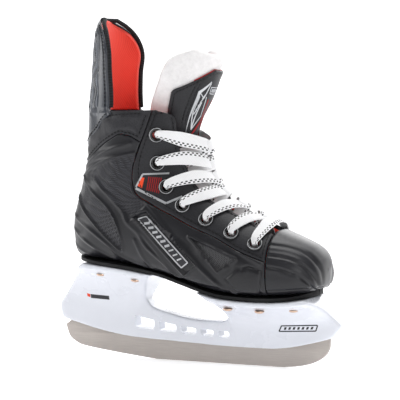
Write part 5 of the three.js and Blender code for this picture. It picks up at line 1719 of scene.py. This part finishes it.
def build_stage():
    deselect()
    bpy.ops.mesh.primitive_plane_add(size=14, location=(0, 0, -0.0004))
    floor = bpy.context.object
    floor.name = "floor"
    bpy.ops.mesh.primitive_plane_add(size=14, location=(0, 4, 0), rotation=(math.radians(90), 0, 0))
    backdrop = bpy.context.object
    backdrop.name = "backdrop"
    for plane, glow in ((floor, 0.5), (backdrop, 0.75)):
        material = bpy.data.materials.new(f"stage_{plane.name}")
        material.use_nodes = True
        shader = material.node_tree.nodes["Principled BSDF"]
        shader.inputs["Base Color"].default_value = (0.9, 0.9, 0.91, 1)
        shader.inputs["Roughness"].default_value = 0.75
        shader.inputs["Emission Color"].default_value = (1, 1, 1, 1)
        shader.inputs["Emission Strength"].default_value = glow
        plane.data.materials.append(material)
    world = bpy.data.worlds.new("studio")
    world.use_nodes = True
    world.node_tree.nodes["Background"].inputs[0].default_value = (1.0, 1.0, 1.0, 1)
    world.node_tree.nodes["Background"].inputs[1].default_value = 0.35
    bpy.context.scene.world = world
    middle = (0, 0, 0.11)
    lights = [area_light("top_light", (0.15, 0.1, 1.0), middle, (0.9, 0.6), 6),
              area_light("front_light", (0.95, -0.75, 0.55), middle, (0.4, 0.6), 2.6),
              area_light("rear_light", (-0.95, -0.25, 0.4), middle, (0.3, 0.8), 3.2),
              area_light("back_light", (0.1, 0.9, 0.55), middle, (0.9, 0.5), 2.5)]
    data = bpy.data.cameras.new("camera")
    data.lens, data.sensor_width = 148.3, 36
    camera = bpy.data.objects.new("camera", data)
    camera.location = (0.4723, -1.1027, 0.1881)
    target = Vector((0.00423, 0, 0.11836))
    camera.rotation_euler = (target - camera.location).to_track_quat("-Z", "Y").to_euler()
    bpy.context.collection.objects.link(camera)
    bpy.context.scene.camera = camera
    bpy.context.scene.view_settings.view_transform = "Standard"


# ------------------------------------------------------------------ operators
class StepOperator:
    """What the operators share: the scene's settings."""
    bl_options = {"REGISTER", "UNDO"}

    @staticmethod
    def sizes(context):
        return context.scene.skate_sizes


class SKATE_OT_finishes(StepOperator, bpy.types.Operator):
    """Make the materials that every piece uses"""
    bl_idname = "skate.finishes"
    bl_label = "Finishes"

    def execute(self, context):
        make_finishes(context.scene.skate_colours)
        return {"FINISHED"}


class SKATE_OT_quarters(StepOperator, bpy.types.Operator):
    """Mould both quarters with their ridges"""
    bl_idname = "skate.quarters"
    bl_label = "Quarters"

    def execute(self, context):
        for name, side in SIDES:
            build_quarter(self.sizes(context), name, side)
        return {"FINISHED"}


class SKATE_OT_facings(StepOperator, bpy.types.Operator):
    """Make both facings, bored for the eyelets"""
    bl_idname = "skate.facings"
    bl_label = "Facings"

    def execute(self, context):
        for name, side in SIDES:
            build_facing(self.sizes(context), name, side)
        return {"FINISHED"}


class SKATE_OT_collars(StepOperator, bpy.types.Operator):
    """Make both collars in soft leather"""
    bl_idname = "skate.collars"
    bl_label = "Collars"

    def execute(self, context):
        for name, side in SIDES:
            build_collar(self.sizes(context), name, side)
        return {"FINISHED"}


class SKATE_OT_linings(StepOperator, bpy.types.Operator):
    """Make both woven linings and the ankle pads"""
    bl_idname = "skate.linings"
    bl_label = "Linings and ankle pads"

    def execute(self, context):
        for name, side in SIDES:
            build_lining(name, side)
        build_ankle_pads()
        return {"FINISHED"}


class SKATE_OT_toe_cap(StepOperator, bpy.types.Operator):
    """Mould the grooved toe cap"""
    bl_idname = "skate.toe_cap"
    bl_label = "Toe cap"

    def execute(self, context):
        build_toe_cap(self.sizes(context))
        return {"FINISHED"}


class SKATE_OT_sewing(StepOperator, bpy.types.Operator):
    """Sew the rows of stitches on both sides of the upper"""
    bl_idname = "skate.sewing"
    bl_label = "Stitches of the upper"

    def execute(self, context):
        for name, side in SIDES:
            build_upper_stitches(self.sizes(context), name, side)
        return {"FINISHED"}


class SKATE_OT_prints(StepOperator, bpy.types.Operator):
    """Lay the plain prints and the badges on both sides"""
    bl_idname = "skate.prints"
    bl_label = "Prints and badges"

    def execute(self, context):
        for name, side in SIDES:
            build_prints(name, side)
            build_badge(name, side)
        return {"FINISHED"}


class SKATE_OT_eyelets(StepOperator, bpy.types.Operator):
    """Set the fourteen eyelet rings"""
    bl_idname = "skate.eyelets"
    bl_label = "Eyelets"

    def execute(self, context):
        for name, side in SIDES:
            build_eyelets(name, side)
        return {"FINISHED"}


class SKATE_OT_sole(StepOperator, bpy.types.Operator):
    """Make the outsole, the insole board and the footbed"""
    bl_idname = "skate.sole"
    bl_label = "Sole"

    def execute(self, context):
        build_sole()
        return {"FINISHED"}


class SKATE_OT_holder(StepOperator, bpy.types.Operator):
    """Mould the blade holder with its windows and marks"""
    bl_idname = "skate.holder"
    bl_label = "Holder"

    def execute(self, context):
        build_holder()
        build_holder_marks()
        return {"FINISHED"}


class SKATE_OT_blade(StepOperator, bpy.types.Operator):
    """Make the steel blade and its pins"""
    bl_idname = "skate.blade"
    bl_label = "Blade"

    def execute(self, context):
        build_blade()
        return {"FINISHED"}


class SKATE_OT_rivets(StepOperator, bpy.types.Operator):
    """Set the copper rivets under the flanges"""
    bl_idname = "skate.rivets"
    bl_label = "Rivets"

    def execute(self, context):
        build_rivets()
        return {"FINISHED"}


class SKATE_OT_tongue(StepOperator, bpy.types.Operator):
    """Make the tongue's felt, its cover and its prints"""
    bl_idname = "skate.tongue"
    bl_label = "Tongue"

    def execute(self, context):
        build_tongue_felt(self.sizes(context))
        build_tongue_cover(self.sizes(context))
        build_tongue_prints()
        return {"FINISHED"}


class SKATE_OT_guard(StepOperator, bpy.types.Operator):
    """Make the tendon guard, its foot and its lining"""
    bl_idname = "skate.guard"
    bl_label = "Tendon guard"

    def execute(self, context):
        build_guard(self.sizes(context))
        build_guard_lining()
        return {"FINISHED"}


class SKATE_OT_lace(StepOperator, bpy.types.Operator):
    """Thread the flat lace through the eyelets"""
    bl_idname = "skate.lace"
    bl_label = "Lace"

    def execute(self, context):
        build_lace(self.sizes(context))
        return {"FINISHED"}


class SKATE_OT_stage(StepOperator, bpy.types.Operator):
    """Set the floor, the lights and the camera"""
    bl_idname = "skate.stage"
    bl_label = "Stage"

    def execute(self, context):
        build_stage()
        return {"FINISHED"}


STEPS = (SKATE_OT_finishes, SKATE_OT_quarters, SKATE_OT_facings, SKATE_OT_collars, SKATE_OT_linings,
         SKATE_OT_toe_cap, SKATE_OT_sewing, SKATE_OT_prints, SKATE_OT_eyelets, SKATE_OT_sole, SKATE_OT_holder,
         SKATE_OT_blade, SKATE_OT_rivets, SKATE_OT_tongue, SKATE_OT_guard, SKATE_OT_lace, SKATE_OT_stage)


class SKATE_PT_steps(bpy.types.Panel):
    """Lists every step, in order"""
    bl_idname = "SKATE_PT_steps"
    bl_label = "Skate"
    bl_space_type = "VIEW_3D"
    bl_region_type = "UI"
    bl_category = "Skate"

    def draw(self, context):
        for settings in (context.scene.skate_sizes, context.scene.skate_colours):
            for key in settings.__annotations__:
                self.layout.prop(settings, key)
        for step in STEPS:
            self.layout.operator(step.bl_idname)


CLASSES = (SkateSizes, SkateColours, *STEPS, SKATE_PT_steps)


def register():
    for cls in CLASSES:
        bpy.utils.register_class(cls)
    bpy.types.Scene.skate_sizes = bpy.props.PointerProperty(type=SkateSizes)
    bpy.types.Scene.skate_colours = bpy.props.PointerProperty(type=SkateColours)


def unregister():
    del bpy.types.Scene.skate_colours
    del bpy.types.Scene.skate_sizes
    for cls in reversed(CLASSES):
        bpy.utils.unregister_class(cls)


def main():
    register()
    for step in STEPS:
        getattr(bpy.ops.skate, step.bl_idname.split(".")[1])()


if __name__ == "__main__":
    main()
